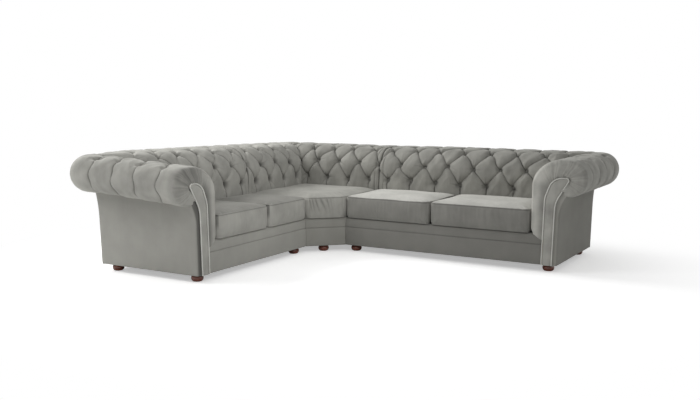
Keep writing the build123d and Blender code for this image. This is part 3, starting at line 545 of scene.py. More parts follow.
def tufted(run, along, length, columns, pitch, seed, lean):
    """Depth of the buttoned cover below its crown, and its painted shading turned by lean: shade in creases
    and pits, highlight (< 0).
    """
    depth = np.zeros_like(run)
    painted_shading = np.zeros_like(run)
    painted_highlight = np.zeros_like(run)
    draw = np.random.default_rng(seed)
    by_run, by_along = strayed(run, along, seed)
    run, along = run + by_run, along + by_along
    buttons = []
    for at in columns:
        buttons += [(at, ROW_1), (at, ROW_3)]
        for between in (at - pitch / 2, at + pitch / 2):
            for start, end in (
                ((at, ROW_1), (between, ROW_2)),
                ((at, ROW_3), (between, ROW_2)),
                ((at, ROW_3), (between, ROW_4)),
            ):
                # Each fold brings its depth, the painted shade in its crease and the painted highlight on
                # its edge
                low, dark, glint = diamond_fold(run, along, start, end, lean, draw)
                depth = np.maximum(depth, low)
                painted_shading = np.maximum(painted_shading, dark)
                painted_highlight = np.maximum(painted_highlight, glint)
            if (between, ROW_4) not in buttons:
                buttons += [(between, ROW_2), (between, ROW_4)]
                gap, share, left = beside(run, along, (between, ROW_4), (between, length))
                low = np.maximum(BUTTON_DEPTH * (1 - share * ROLL_PLEAT_FADE), 0)
                depth = np.maximum(depth, low * fold_shape(gap, ROLL_PLEAT_PIT, CREASE))
                low = PLEAT_DEPTH * fold_shape(gap, ROLL_PLEAT_REACH * pitch, PLEAT_CREASE)
                depth = np.maximum(depth, low)
                painted_shading = np.maximum(painted_shading, ROLL_PLEAT_SHADE[0] * bell(gap, ROLL_PLEAT_SHADE[1]))
        gap, share, left = beside(run, along, (at, ROW_1), (at, 0))
        low = np.maximum(BUTTON_DEPTH * (1 - share * SEAT_PLEAT_FADE), PLEAT_DEPTH)
        lap = np.where(left, OVERLAP * np.exp(-gap / CREASE), 0)
        depth = np.maximum(depth, low * fold_shape(gap, SEAT_PLEAT_REACH * pitch, CREASE) - lap)
        painted_shading = np.maximum(painted_shading, SEAT_PLEAT_SHADE[0] * bell(gap, SEAT_PLEAT_SHADE[1]))
        glint = SEAT_PLEAT_GLINT * bell(gap - GLINT_OFF, GLINT_WIDTH)
        painted_highlight = np.maximum(painted_highlight, np.where((run - at) * lean < 0, glint, 0))
    # Painted shade in each button's pit and painted highlight beside it, then the tug and the wrinkles with
    # their painted shade and highlight
    for at, row in buttons:
        gap = np.hypot(run - at, along - row)
        depth = np.maximum(depth, BUTTON_DEPTH - DIMPLE * gap)
        pit = np.hypot(run - at - PIT_OFF * lean, PIT_FLAT * (along - row))
        painted_shading = np.maximum(painted_shading, PIT_SHADE[0] * bell(pit, PIT_SHADE[1]))
        lit = np.hypot(run - at + SPOT_OFF[0] * lean, along - row + SPOT_OFF[1])
        painted_highlight = np.maximum(painted_highlight, SPOT_GLINT[0] * bell(lit, SPOT_GLINT[1]))
        if row < ROW_4:
            top = (at + draw.uniform(*TUG_LEAN), row + draw.uniform(*TUG_REACH))
            gap, share, left = beside(run, along, (at, row), top)
            depth = depth + TUG_DEPTH * (1 - share) * np.exp(-gap / TUG_CREASE)
            painted_shading = np.maximum(painted_shading, TUG_SHADE[0] * (1 - share) * bell(gap, TUG_SHADE[1]))
        for _ in range(WRINKLES):
            angle = draw.uniform(0, 2 * pi)
            reach = draw.uniform(*WRINKLE_REACH)
            width = draw.uniform(*WRINKLE_WIDTH)
            deep = draw.uniform(*WRINKLE_DEPTH) * (1 if row < ROW_4 else WRINKLE_ON_ROLL)
            tip = (at + reach * cos(angle), row + reach * sin(angle))
            gap, share, left = beside(run, along, (at, row), tip)
            deep = deep * (1 - share)
            depth = depth + deep * np.exp(-gap / width)
            painted_shading = np.maximum(painted_shading, WRINKLE_SHADE[0] * deep * bell(gap, WRINKLE_SHADE[1]))
            glint = WRINKLE_GLINT[0] * deep * bell(gap - WRINKLE_GLINT[1], WRINKLE_GLINT[2])
            painted_highlight = np.maximum(painted_highlight, np.where(left == (sin(angle) * lean > 0), glint, 0))
    for _ in range(STUFFING_COUNT):
        angle = draw.uniform(0, 2 * pi)
        wave = draw.uniform(*STUFFING_WAVES)
        phase = draw.uniform(0, 2 * pi)
        way = run * cos(angle) + along * sin(angle)
        depth = depth + STUFFING_DEPTH * np.sin(2 * pi * way / wave + phase)
    return depth, painted_shading - painted_highlight * (1 - np.clip(painted_shading, 0, 1))


GRID = 5.0
LEAST_STEP = 1.4
# More points close to a fold, either side of it, and at a seam, back from it
FOLD_STEPS = (-8, -4, 0, 4, 8)
SEAM_STEPS = (1.5, 4, 8)
LINING_DEPTH = 66.0
LINING_ROWS = 26
# The valley where two pads meet in a corner, and the lip at its upper end
VALLEY = 58.0
VALLEY_REACH = 95.0
VALLEY_CREASE = 14.0
VALLEY_AT = (5, -95)
VALLEY_LIP = 12.0
VALLEY_LIP_AT = (0, -20)
CORNER_COLUMNS = 10
CORNER_SPREAD = 60.0
SPREAD_SHARE = 0.8
STRAIGHT = 450.0
# How deep the cover is tucked in at the deck and under the roll, and over what length
DECK_TUCK = (16.0, 40.0)
END_TUCK = (8.0, 60.0)
# The seam between two units: rounded and closed at its end, with a stitched bead beside it
SEAM_ROUND = 22.0
SEAM_SINK = 12.0
SEAM_BEAD = 34.0
SEAM_TUCK = 5.0
STITCH_WIDTH = 4.0
STITCH_FROM = (20, 90)
# Painted shade along the stitching and at the seam's closed end, and painted highlight on the bead,
# strongest on the right wing
STITCH_SHADE = 0.3
BEAD_EDGE = 8.0
SEAM_EDGE = 6.0
SEAM_SHADE = 0.8
SEAM_LIGHT = {"left": 0.12, "right": 0.3, "corner": 0.12}
# The arm's front: the buttoning ends, and the cover bulges, rounds over and is gathered in
FRONT_AT = 800.0
FRONT_ROUND = 34.0
FRONT_SINK = 30.0
FRONT_DOME = (4.0, 11.0)
FRONT_DOME_AT = (380, 600)
FRONT_BACK = 7.0
FRONT_BULGE = 11.0
BULGE_FROM = (660, 760)
BULGE_UNTIL = (480, 330)
FRONT_COLUMNS = 10
CAP_COLUMNS = 9
BUTTONING_ENDS = (730, 650)
GATHERS_FROM = (380, 480)
GATHERS_UNTIL = (1000, 900)
GATHER_PULL = (740, 795)
GATHER_DEPTH = 3.0
# Painted shade in the gathers pulled in to the facing
GATHER_SHADE = 0.3
GATHER_PLEAT = 3.4
LINING_BACK = 8.0
LIP_DROP = 36.0
LIP_OUT = (-165, -95)
LIP_UNTIL = (75, 0)
LIP_RUN = (700, 770)
# Painted shade and painted highlight in patches on the front's roll, and beside the facing's inner edge
PATCH_DARK = 0.6
PATCH_LIGHT = 0.3
PATCH_SHADE = {"left": 1.0, "right": -0.5}
INNER_LIGHT = {"left": 0.3, "right": 0.5}
INNER_DARK = {"left": 1.15, "right": 0.75}
# Where the cover of the arm's front is drawn in, behind the facing: along the crown, out, up
DRAWN_IN = np.array(
    [
        (0, -75, 245),
        (200, -72, 430),
        (297, -66, 500),
        (440, -45, 560),
        (580, -15, 592),
        (633, 15, 598),
        (715, 50, 601),
        (817, 62, 601),
        (902, 55, 594),
        (972, 30, 572),
        (1031, 5, 535),
    ]
)


def paint_shading(piece, amount):
    """Keep the painted shading at each point for the velvet's tone: painted shade above 0, painted
    highlight below.
    """
    layer = piece.data.attributes.new("painted_shading", "FLOAT", "POINT")
    layer.data.foreach_set("value", np.ascontiguousarray(amount, dtype=np.float32).ravel())


def close_ends():
    """Merge the active piece's long seam, fill its two open ends and turn its faces outwards."""
    bpy.ops.object.mode_set(mode="EDIT")
    bpy.ops.mesh.select_all(action="SELECT")
    bpy.ops.mesh.remove_doubles(threshold=0.000005)
    bpy.ops.mesh.select_all(action="DESELECT")
    bpy.ops.mesh.select_non_manifold(extend=False)
    bpy.ops.mesh.fill_holes(sides=0)
    bpy.ops.mesh.select_all(action="SELECT")
    bpy.ops.mesh.normals_make_consistent(inside=False)
    bpy.ops.object.mode_set(mode="OBJECT")


def gathered(run, way):
    """Depth share of the gathers that run in to the facing round the arm's front."""
    waver = 2.1 * np.sin(way / 37) + 1.2 * np.sin(way / 13 + run / 60)
    tight = 1 - np.abs(np.sin(pi * way / 27 + waver))
    return tight * ease(*GATHERS_FROM, way) * ease(*GATHERS_UNTIL, way)


def front_shade(run, way, draw_in, unit):
    """Painted shade and highlight in patches round the arm's front, and painted shade and highlight beside
    the facing's inner edge.
    """
    patchy = 0.65 + 0.2 * np.sin(way / 23 + run / 37) + 0.15 * np.sin(way / 11 - run / 19)
    dark = PATCH_DARK * patchy * ease(715 + 25 * np.sin(way / 41), FRONT_AT, run)
    dark = dark * ease(500, 620, way) * ease(880, 760, way)
    light = PATCH_LIGHT * bell(run - 705, 32) * ease(620, 720, way) * ease(960, 880, way)
    inner = ease(560, 400, way)
    edge = INNER_DARK[unit] * ease(0.05, 0.8, draw_in) - INNER_LIGHT[unit] * ease(700, 770, run)
    return (dark - light) * PATCH_SHADE[unit] + edge * inner


def new_grid(name, columns, rows):
    """New piece that is a flat grid of points, selected in object mode."""
    bpy.ops.object.select_all(action="DESELECT")
    bpy.ops.mesh.primitive_grid_add(x_subdivisions=columns - 1, y_subdivisions=rows - 1)
    piece = bpy.context.object
    piece.name = name
    return piece


def pad(
    name,
    unit,
    form,
    origin,
    run_way,
    out_way,
    length,
    limit,
    columns,
    pitch,
    seed,
    lean,
    seam_light=0.0,
    front=False,
):
    """Buttoned padding that runs from a mitred corner to a unit's seam or to the arm's front."""
    crown = crown_length(form)
    rows = int(crown / GRID)
    along = np.concatenate([np.linspace(0, crown, rows + 1), np.linspace(crown, 0, LINING_ROWS + 1), [0.0]])
    lining = np.concatenate([np.zeros(rows + 1), np.ones(LINING_ROWS + 1), [0.0]])
    start_out, _ = on_crown(form, along, np.zeros_like(along))
    valley = VALLEY * ease(*VALLEY_AT, start_out) + VALLEY_LIP * ease(*VALLEY_LIP_AT, start_out)
    valley = np.where(lining > 0, LINING_DEPTH, valley)
    start_out, _ = on_crown(form, along, valley)
    start = np.minimum(np.maximum(-start_out, 0), limit)
    spread = np.minimum(CORNER_SPREAD, np.maximum(-start_out, 0) * SPREAD_SHARE)
    stop = length - FRONT_ROUND if front else length
    folds = [at + half * pitch / 2 for at in columns for half in (-1, 0, 1)]
    if not front:
        folds.append(stop - SEAM_BEAD)
    close = [at + by for at in folds for by in FOLD_STEPS]
    if not front:
        close += [stop - by for by in SEAM_STEPS]
    even = np.linspace(0, stop, int(stop / GRID) + 1)
    spots = np.unique(np.concatenate([even, [at for at in close if 0 < at < stop]]).round(1))
    spots = spots[np.concatenate([np.diff(spots) > LEAST_STEP, [True]])]
    turn = np.linspace(pi / 4, 0, CORNER_COLUMNS + 1)[:-1]
    corner = np.linspace(0, 1, CORNER_COLUMNS + 1)[:-1]
    first = (start + spread)[:, None]
    body = np.where(spots < STRAIGHT, first + (STRAIGHT - first) * spots / STRAIGHT, spots + 0 * first)
    run = np.concatenate([start[:, None] + spread[:, None] * corner[None, :], body], axis=1)
    turned = np.concatenate([np.tile(turn, (len(along), 1)), np.zeros_like(body)], axis=1)
    turned = np.where((start_out > 0)[:, None], turned, 0)
    sink = np.zeros_like(run)
    draw_in = np.zeros_like(run)
    if front:
        swing = np.linspace(0, pi / 2, FRONT_COLUMNS + 1)[1:]
        tip = np.tile(stop + FRONT_ROUND * np.sin(swing), (len(along), 1))
        cap = np.linspace(0, 1, CAP_COLUMNS + 1)[1:]
        run = np.concatenate([run, tip, np.full((len(along), CAP_COLUMNS), length)], axis=1)
        late = np.concatenate([FRONT_SINK * (1 - np.cos(swing)), np.full(CAP_COLUMNS, FRONT_SINK)])
        sink = np.concatenate([sink, np.tile(late, (len(along), 1))], axis=1)
        none = np.zeros((len(along), FRONT_COLUMNS))
        draw_in = np.concatenate([draw_in, none, np.tile(cap, (len(along), 1))], axis=1)
        turned = np.concatenate([turned, none, np.zeros((len(along), CAP_COLUMNS))], axis=1)
    way = np.tile(along[:, None], (1, run.shape[1]))
    depth, painted_shading = tufted(run, way, crown, columns, pitch, seed, lean)
    gap = run - start[:, None]
    inside = (start_out < 0)[:, None]
    low = valley[:, None] * fold_shape(gap, VALLEY_REACH, VALLEY_CREASE)
    depth = np.where(inside, np.maximum(depth, low), depth)
    if front:
        fade = ease(*BUTTONING_ENDS, run)
        gathers = gathered(run, way)
        pulled = gathers * ease(*GATHER_PULL, run)
        bulge = FRONT_BULGE * ease(*BULGE_FROM, run) * ease(*BULGE_UNTIL, way)
        depth = depth * fade + sink + GATHER_DEPTH * pulled - bulge
        # Painted shade in the gathers, and painted shade and highlight round the arm's front
        painted_shading = painted_shading * fade + GATHER_SHADE * pulled + front_shade(run, way, draw_in, unit)
    else:
        rounding = np.clip(1 - (length - run) / SEAM_ROUND, 0, 1)
        stitch = length - SEAM_BEAD
        seam_edge = ease(length - SEAM_EDGE, length, run)
        depth = depth + SEAM_SINK * (1 - np.sqrt(1 - rounding**2))
        depth = depth + SEAM_TUCK * np.exp(-np.abs(stitch - run) / STITCH_WIDTH) * ease(*STITCH_FROM, way)
        # Painted shade along the stitching and at the end, painted highlight on the bead
        painted_shading = np.maximum(painted_shading, STITCH_SHADE * bell(stitch - run, STITCH_WIDTH))
        painted_shading = painted_shading - seam_light * ease(stitch, stitch + BEAD_EDGE, run) * (1 - seam_edge)
        painted_shading = np.maximum(painted_shading, SEAM_SHADE * seam_edge)
    tuck = DECK_TUCK[0] * (1 - ease(0, DECK_TUCK[1], way))
    tuck = tuck + END_TUCK[0] * ease(crown - END_TUCK[1], crown, way)
    depth = np.maximum(depth, tuck)
    depth = np.where(lining[:, None] > 0, LINING_DEPTH, depth)
    out, up = on_crown(form, way, depth)
    if front:
        goal_out = np.interp(along, DRAWN_IN[:, 0], DRAWN_IN[:, 1])[:, None]
        goal_up = np.interp(along, DRAWN_IN[:, 0], DRAWN_IN[:, 2])[:, None]
        out = out + (goal_out - out) * draw_in
        up = up + (goal_up - up) * draw_in
        dome = FRONT_DOME[0] + (FRONT_DOME[1] - FRONT_DOME[0]) * ease(*FRONT_DOME_AT, way)
        dome = dome * np.sin(pi * np.minimum(draw_in * 1.1, 1)) - FRONT_BACK * draw_in
        pleat = GATHER_PLEAT * gathers * ease(0.1, 0.6, draw_in)
        run = run + np.where(lining[:, None] > 0, -LINING_BACK, dome - pleat)
        up = up - LIP_DROP * ease(*LIP_OUT, out) * ease(*LIP_UNTIL, way) * ease(*LIP_RUN, run)
    ahead = np.where(turned > 0, -np.maximum(out, 0) * np.sin(turned), run)
    away = np.where(turned > 0, out * np.cos(turned), out)
    x = origin[0] + ahead * run_way[0] + away * out_way[0]
    y = origin[1] + ahead * run_way[1] + away * out_way[1]
    piece = new_grid(name, run.shape[1], len(along))
    set_points(piece, lifted(placed(x, y, up, unit)))
    paint_shading(piece, painted_shading)
    close_ends()
    bpy.ops.object.shade_smooth_by_angle(angle=radians(70))
    return piece


# Cotton-backed velvet: short dense pile, with soft brushed patches and faint streaks over it. A cushion's
# top and its upright faces differ in tone, as painted light and shade; a per-point attribute adds painted
# shade, and painted highlight where it is below 0. The pile is drawn at 1.2 mm so that it shows.
PILE_SHARE = 0.25
NAP_SPAN = 0.3


def velvet_material(name, upright, top, nap_share=0.17, streaks=0.3):
    """Velvet with the colour of its upright faces and of its top, a different top colour being painted
    light and shade, and the strength of nap and streaks.
    """
    material = new_material(name)
    spot = add_node(material, "ShaderNodeTexCoord")
    brushed = add_node(
        material, "ShaderNodeTexNoise", {"Scale": 7.0, "Detail": 3.0}, {"Vector": spot.outputs["Object"]}
    )
    hung = add_node(
        material, "ShaderNodeMapping", {"Scale": (34, 34, 5)}, {"Vector": spot.outputs["Object"]}
    )
    streak = add_node(
        material, "ShaderNodeTexNoise", {"Scale": 1.0, "Detail": 3.0}, {"Vector": hung.outputs["Vector"]}
    )
    pile = add_node(
        material, "ShaderNodeTexNoise", {"Scale": 830.0, "Detail": 1.0}, {"Vector": spot.outputs["Object"]}
    )
    both = add_node(
        material,
        "ShaderNodeMath",
        {"operation": "MULTIPLY_ADD", 1: streaks},
        {0: streak.outputs["Fac"], 2: brushed.outputs["Fac"]},
    )
    grain = add_node(
        material,
        "ShaderNodeMath",
        {"operation": "MULTIPLY_ADD", 1: PILE_SHARE},
        {0: pile.outputs["Fac"], 2: both.outputs["Value"]},
    )
    middle = (1 + streaks + PILE_SHARE) / 2
    nap = add_node(
        material,
        "ShaderNodeMapRange",
        {
            "From Min": middle - NAP_SPAN,
            "From Max": middle + NAP_SPAN,
            "To Min": 1 - nap_share,
            "To Max": 1 + nap_share,
        },
        {"Value": grain.outputs["Value"]},
    )
    # Painted shade darkens the colour where the per-point attribute is above 0, painted highlight lightens
    # it below 0
    folds = add_node(material, "ShaderNodeAttribute", {"attribute_name": "painted_shading"})
    tone = add_node(
        material,
        "ShaderNodeMapRange",
        {"clamp": False, "To Min": 1.0, "To Max": 0.32},
        {"Value": folds.outputs["Fac"]},
    )
    tone = add_node(
        material,
        "ShaderNodeMath",
        {"operation": "MULTIPLY"},
        {0: tone.outputs["Result"], 1: nap.outputs["Result"]},
    )
    # Faces that lie flat get the top colour: painted light and shade
    turned = add_node(material, "ShaderNodeSeparateXYZ", {}, {0: spot.outputs["Normal"]})
    lying = add_node(
        material,
        "ShaderNodeMapRange",
        {"interpolation_type": "SMOOTHSTEP", "From Min": 0.75, "From Max": 0.99},
        {"Value": turned.outputs["Z"]},
    )
    base_and_painted_top = add_node(
        material,
        "ShaderNodeMix",
        {"data_type": "RGBA", 6: linear(upright), 7: linear(top)},
        {0: lying.outputs["Result"]},
    )
    colour = add_node(
        material,
        "ShaderNodeVectorMath",
        {"operation": "SCALE"},
        {0: base_and_painted_top.outputs[2], 3: tone.outputs["Value"]},
    )
    lift = add_node(
        material, "ShaderNodeBump", {"Strength": 0.25, "Distance": 0.0006}, {"Height": pile.outputs["Fac"]}
    )
    shader = add_node(
        material,
        "ShaderNodeBsdfPrincipled",
        {
            "Roughness": 0.9,
            "Specular IOR Level": 0.15,
            "Sheen Weight": 0.35,
            "Sheen Roughness": 0.45,
            "Sheen Tint": linear("#D8D8D2"),
        },
        {"Base Color": colour.outputs[0], "Normal": lift.outputs["Normal"]},
    )
    add_node(material, "ShaderNodeOutputMaterial", {}, {"Surface": shader.outputs["BSDF"]})
    return material


# One grey velvet in lighter and darker copies, painted light and shade: lightest on the right arm and the
# left wing, darker on the right wing, darkest on the corner's right half
velvet = {
    "left": velvet_material("grey_velvet_left", "#A09F99", "#A09F99", 0.22),
    "right": velvet_material("grey_velvet_right", "#94938D", "#94938D", 0.22),
    "corner": velvet_material("grey_velvet_corner", "#8E8D87", "#8E8D87", 0.22),
    "right_arm": velvet_material("grey_velvet_arm_painted_light", "#A3A29C", "#A3A29C", 0.3),
}
arm_velvet = {"left": velvet["left"], "right": velvet["right_arm"]}
corner_velvet = {"left": velvet["left"], "right": velvet["corner"]}
WING_SEAM = CORNER_SIDE + HALF_GAP
CORNER_SEAM = CORNER_SIDE - HALF_GAP
SIDE = {"left": LEFT_SIDE, "right": RIGHT_SIDE}
PITCH = {"left": 190.0, "right": 198.0, "corner": 185.0, "arm": 180.0}
FIRST_COLUMN = 69.0
LAST_COLUMN = 70.0
CORNER_FIRST_COLUMN = 165.0
ARM_COLUMNS = [PITCH["arm"] * i for i in range(4)]
CORNER_BUTTONS = [CORNER_FIRST_COLUMN + PITCH["corner"] * i for i in range(5)]
# How far a pad's end is let in behind its neighbour in a corner: a wing's back, then the others
LET_IN = 140.0
MITRED = 400.0
# Which way along each wing the painted light and shade of folds and buttons are turned: 1 with the run of
# its padding, -1 against it
PAINTED_LIGHT_SIDE = {"left": 1, "right": -1}
PAD_SEED = {"left": 12, "right": 11, "arm": 23, "corner_left": 37, "corner_right": 41}


def back_columns(unit):
    """Places of the columns of rows 1 and 3 of a wing's back, from its far corner."""
    last = SIDE[unit] - WING_SEAM - FIRST_COLUMN
    count = int((last - LAST_COLUMN) / PITCH[unit]) + 1
    return [last - PITCH[unit] * i for i in range(count)]


padding = []
for unit, side in SIDE.items():
    inside_back = pad(
        f"{unit}_inside_back_pad",
        unit,
        BACK,
        origin=(side, 0.0),
        run_way=(-1, 0),
        out_way=(0, 1),
        length=side - WING_SEAM,
        limit=LET_IN,
        columns=back_columns(unit),
        pitch=PITCH[unit],
        seed=PAD_SEED[unit],
        lean=PAINTED_LIGHT_SIDE[unit],
        seam_light=SEAM_LIGHT[unit],
    )
    padding.append((inside_back, velvet[unit], f"{unit}_inside_back", UNIT_BODY[unit]))
    inside_arm = pad(
        f"{unit}_inside_arm_pad",
        unit,
        ARM,
        origin=(side, 0.0),
        run_way=(0, -1),
        out_way=(1, 0),
        length=FRONT_AT,
        limit=MITRED,
        columns=ARM_COLUMNS,
        pitch=PITCH["arm"],
        seed=PAD_SEED["arm"],
        lean=PAINTED_LIGHT_SIDE[unit],
        front=True,
    )
    padding.append((inside_arm, arm_velvet[unit], f"{unit}_inside_arm", UNIT_BODY[unit]))
for half in ("left", "right"):
    corner_back = pad(
        f"corner_inside_back_{half}_pad",
        half,
        BACK,
        origin=(0.0, 0.0),
        run_way=(1, 0),
        out_way=(0, 1),
        length=CORNER_SEAM,
        limit=MITRED,
        columns=CORNER_BUTTONS,
        pitch=PITCH["corner"],
        seed=PAD_SEED[f"corner_{half}"],
        lean=-PAINTED_LIGHT_SIDE[half],
        seam_light=SEAM_LIGHT["corner"],
    )
    padding.append((corner_back, corner_velvet[half], f"corner_inside_back_{half}", "corner_unit"))
for piece, cover, node, body in padding:
    piece.data.materials.append(cover)
    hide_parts(node)
    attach(piece, body)


# Buttons: metal shells covered in the same velvet, drawn down into the padding by twine.
# Each is a flattened dome with a tucked rim, turned to the padding at its place.
BUTTON_RADIUS = 12.0
BUTTON_HEIGHT = 8.0
BUTTON_RIM = -0.2
# Painted shade on each button
BUTTON_SHADE = 0.4
# A direction that no button is turned in, to find two ways across it
ASLANT = (0.31, 0.47, 0.83)
# Where the back's buttons start behind the arm, and where the arm's inner face is
BACK_CLEAR = 175.0
ARM_FACE = -100.0


def seat(form, row):
    """Place and outward direction of a button in a row, across the padding."""
    low = np.array(on_crown(form, np.array(row), np.array(BUTTON_DEPTH - 1)))
    top = np.array(on_crown(form, np.array(row), np.array(0.0)))
    return low, (top - low) / np.linalg.norm(top - low)


def button_set(name, unit, seats, cover):
    """All the buttons of a unit as one piece; seats are points and directions in mm."""
    bpy.ops.object.select_all(action="DESELECT")
    bpy.ops.mesh.primitive_uv_sphere_add(segments=16, ring_count=10, radius=1)
    piece = bpy.context.object
    piece.name = name
    bpy.ops.object.mode_set(mode="EDIT")
    bpy.ops.mesh.select_all(action="SELECT")
    bpy.ops.mesh.bisect(
        plane_co=(0, 0, BUTTON_RIM), plane_no=(0, 0, 1), use_fill=True, clear_inner=True
    )
    bpy.ops.object.mode_set(mode="OBJECT")
    shape = get_points(piece)
    faces = [tuple(face.vertices) for face in piece.data.polygons]
    shape[:, 2] = np.maximum(shape[:, 2], BUTTON_RIM)
    points, polygons = [], []
    for place, away in seats:
        away = np.array(away) / np.linalg.norm(away)
        side_way = np.cross(away, ASLANT)
        side_way = side_way / np.linalg.norm(side_way)
        up_way = np.cross(side_way, away)
        offset = len(points) * len(shape)
        moved = (
            np.array(place)
            + BUTTON_RADIUS * (shape[:, :1] * side_way + shape[:, 1:2] * up_way)
            + BUTTON_HEIGHT * shape[:, 2:3] * away
        )
        points.append(moved)
        polygons += [tuple(v + offset for v in face) for face in faces]
    points = np.concatenate(points)
    mesh = bpy.data.meshes.new(name)
    mesh.from_pydata(lifted(placed(points[:, 0], points[:, 1], points[:, 2], unit)).tolist(), [], polygons)
    piece.data = mesh
    # Painted shade over the whole button
    paint_shading(piece, np.full(len(points), BUTTON_SHADE))
    bpy.ops.object.mode_set(mode="EDIT")
    bpy.ops.mesh.select_all(action="SELECT")
    bpy.ops.mesh.normals_make_consistent(inside=False)
    bpy.ops.object.mode_set(mode="OBJECT")
    bpy.ops.object.shade_smooth_by_angle(angle=radians(60))
    piece.data.materials.append(cover)
    return piece


def rows_of(columns, pitch, seed):
    """Run place and row of each button of a set of columns."""
    spots = set()
    for at in columns:
        spots.update([(at, ROW_1), (at, ROW_3)])
        for between in (at - pitch / 2, at + pitch / 2):
            spots.update([(between, ROW_2), (between, ROW_4)])
    spots = np.array(sorted(spots))
    by_run, by_along = strayed(spots[:, 0], spots[:, 1], seed)
    return np.column_stack([spots[:, 0] - by_run, spots[:, 1] - by_along])


for unit, side in SIDE.items():
    seats = []
    for at, row in rows_of(back_columns(unit), PITCH[unit], PAD_SEED[unit]):
        low, way = seat(BACK, row)
        if min(-low[0], BACK_CLEAR) + BUTTON_RADIUS < at < side - WING_SEAM - BUTTON_RADIUS:
            seats.append(((side - at, low[0], low[1]), (0, way[0], way[1])))
    for at, row in rows_of(ARM_COLUMNS, PITCH["arm"], PAD_SEED["arm"]):
        low, way = seat(ARM, row)
        if at > max(-low[0], 0) + BUTTON_RADIUS and (low[0] > ARM_FACE or at > BACK[0]):
            seats.append(((side + low[0], -at, low[1]), (way[0], 0, way[1])))
    buttons = button_set(f"{unit}_covered_buttons", unit, seats, velvet[unit])
    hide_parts(f"{unit}_buttons")
    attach(buttons, UNIT_BODY[unit])

seats = []
for half in ("left", "right"):
    for at, row in rows_of(CORNER_BUTTONS, PITCH["corner"], PAD_SEED[f"corner_{half}"]):
        low, way = seat(BACK, row)
        if max(-low[0], 0) + 2 * BUTTON_RADIUS < at < CORNER_SEAM - BUTTON_RADIUS:
            if half == "right":
                seats.append(((at, low[0], low[1]), (0, way[0], way[1])))
            else:
                seats.append(((-low[0], -at, low[1]), (-way[0], 0, way[1])))
buttons = button_set("corner_covered_buttons", "right", seats, velvet["corner"])
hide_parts("corner_buttons")
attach(buttons, "corner_unit")


# Outside panels: velvet over thin wadding on hardboard, tacked under the roll and the base.
# They lean out a little, flare under the roll, and meet in a soft edge at each outer corner.
PANEL_LOW = 46.0
PANEL_TOP = 540.0
PANEL_SKIN = 4.0
PANEL_EDGE = 9.0
PANEL_ROWS = 60
PANEL_COLUMNS = 70
# How far a panel stands out at its foot, how far it leans in what height, and its flare
PANEL_FOOT = 3.0
PANEL_LEAN = (7.0, 331.0)
FLARE = 0.0023
FLARE_FROM = 350.0
FLARE_LENGTH = 330.0
FLARE_AT_BACK = 0.15
# The cover lies under the base in three rows, and rounds up over its edge in three more
TUCKED_IN = (18.0, 10.0, 4.0)
EDGE_UP = (1.5, 1.0, 0.5)
EDGE_IN = (1.5, 0.6, 0.1)
PUFF = 3.0
PUFF_HEIGHT = 430.0
# At the arm's front the cover turns in and runs on behind the facing
PANEL_FRONT = 791.0
FRONT_TURN = 13.0
FRONT_STRIP = -40.0
TURN_COLUMNS = 6
STRIP_COLUMNS = 4
# Painted shade on the left arm's turned-in strip, painted highlight (below 0) on the right arm's
STRIP_SHADE = {"left": 0.9, "right": -0.45}
# The left panels get a lighter copy of the velvet and the right ones a darker copy: painted light and
# painted shade
panel_velvet = {
    "left": velvet_material("grey_velvet_left_panels_painted_light", "#9E9D97", "#9E9D97", 0.08, 0.2),
    "right": velvet_material("grey_velvet_right_panels_painted_shade", "#8F8E88", "#8F8E88", 0.08, 0.2),
}


def panel_out(up, ahead):
    """How far a panel stands out from the base plane at a height; most under the roll's front."""
    lean = PANEL_LEAN[0] * (up - PANEL_LOW) / PANEL_LEAN[1]
    flare = FLARE * (FLARE_AT_BACK + (1 - FLARE_AT_BACK) * ahead) * np.maximum(up - FLARE_FROM, 0) ** 2
    return PANEL_FOOT + lean + flare


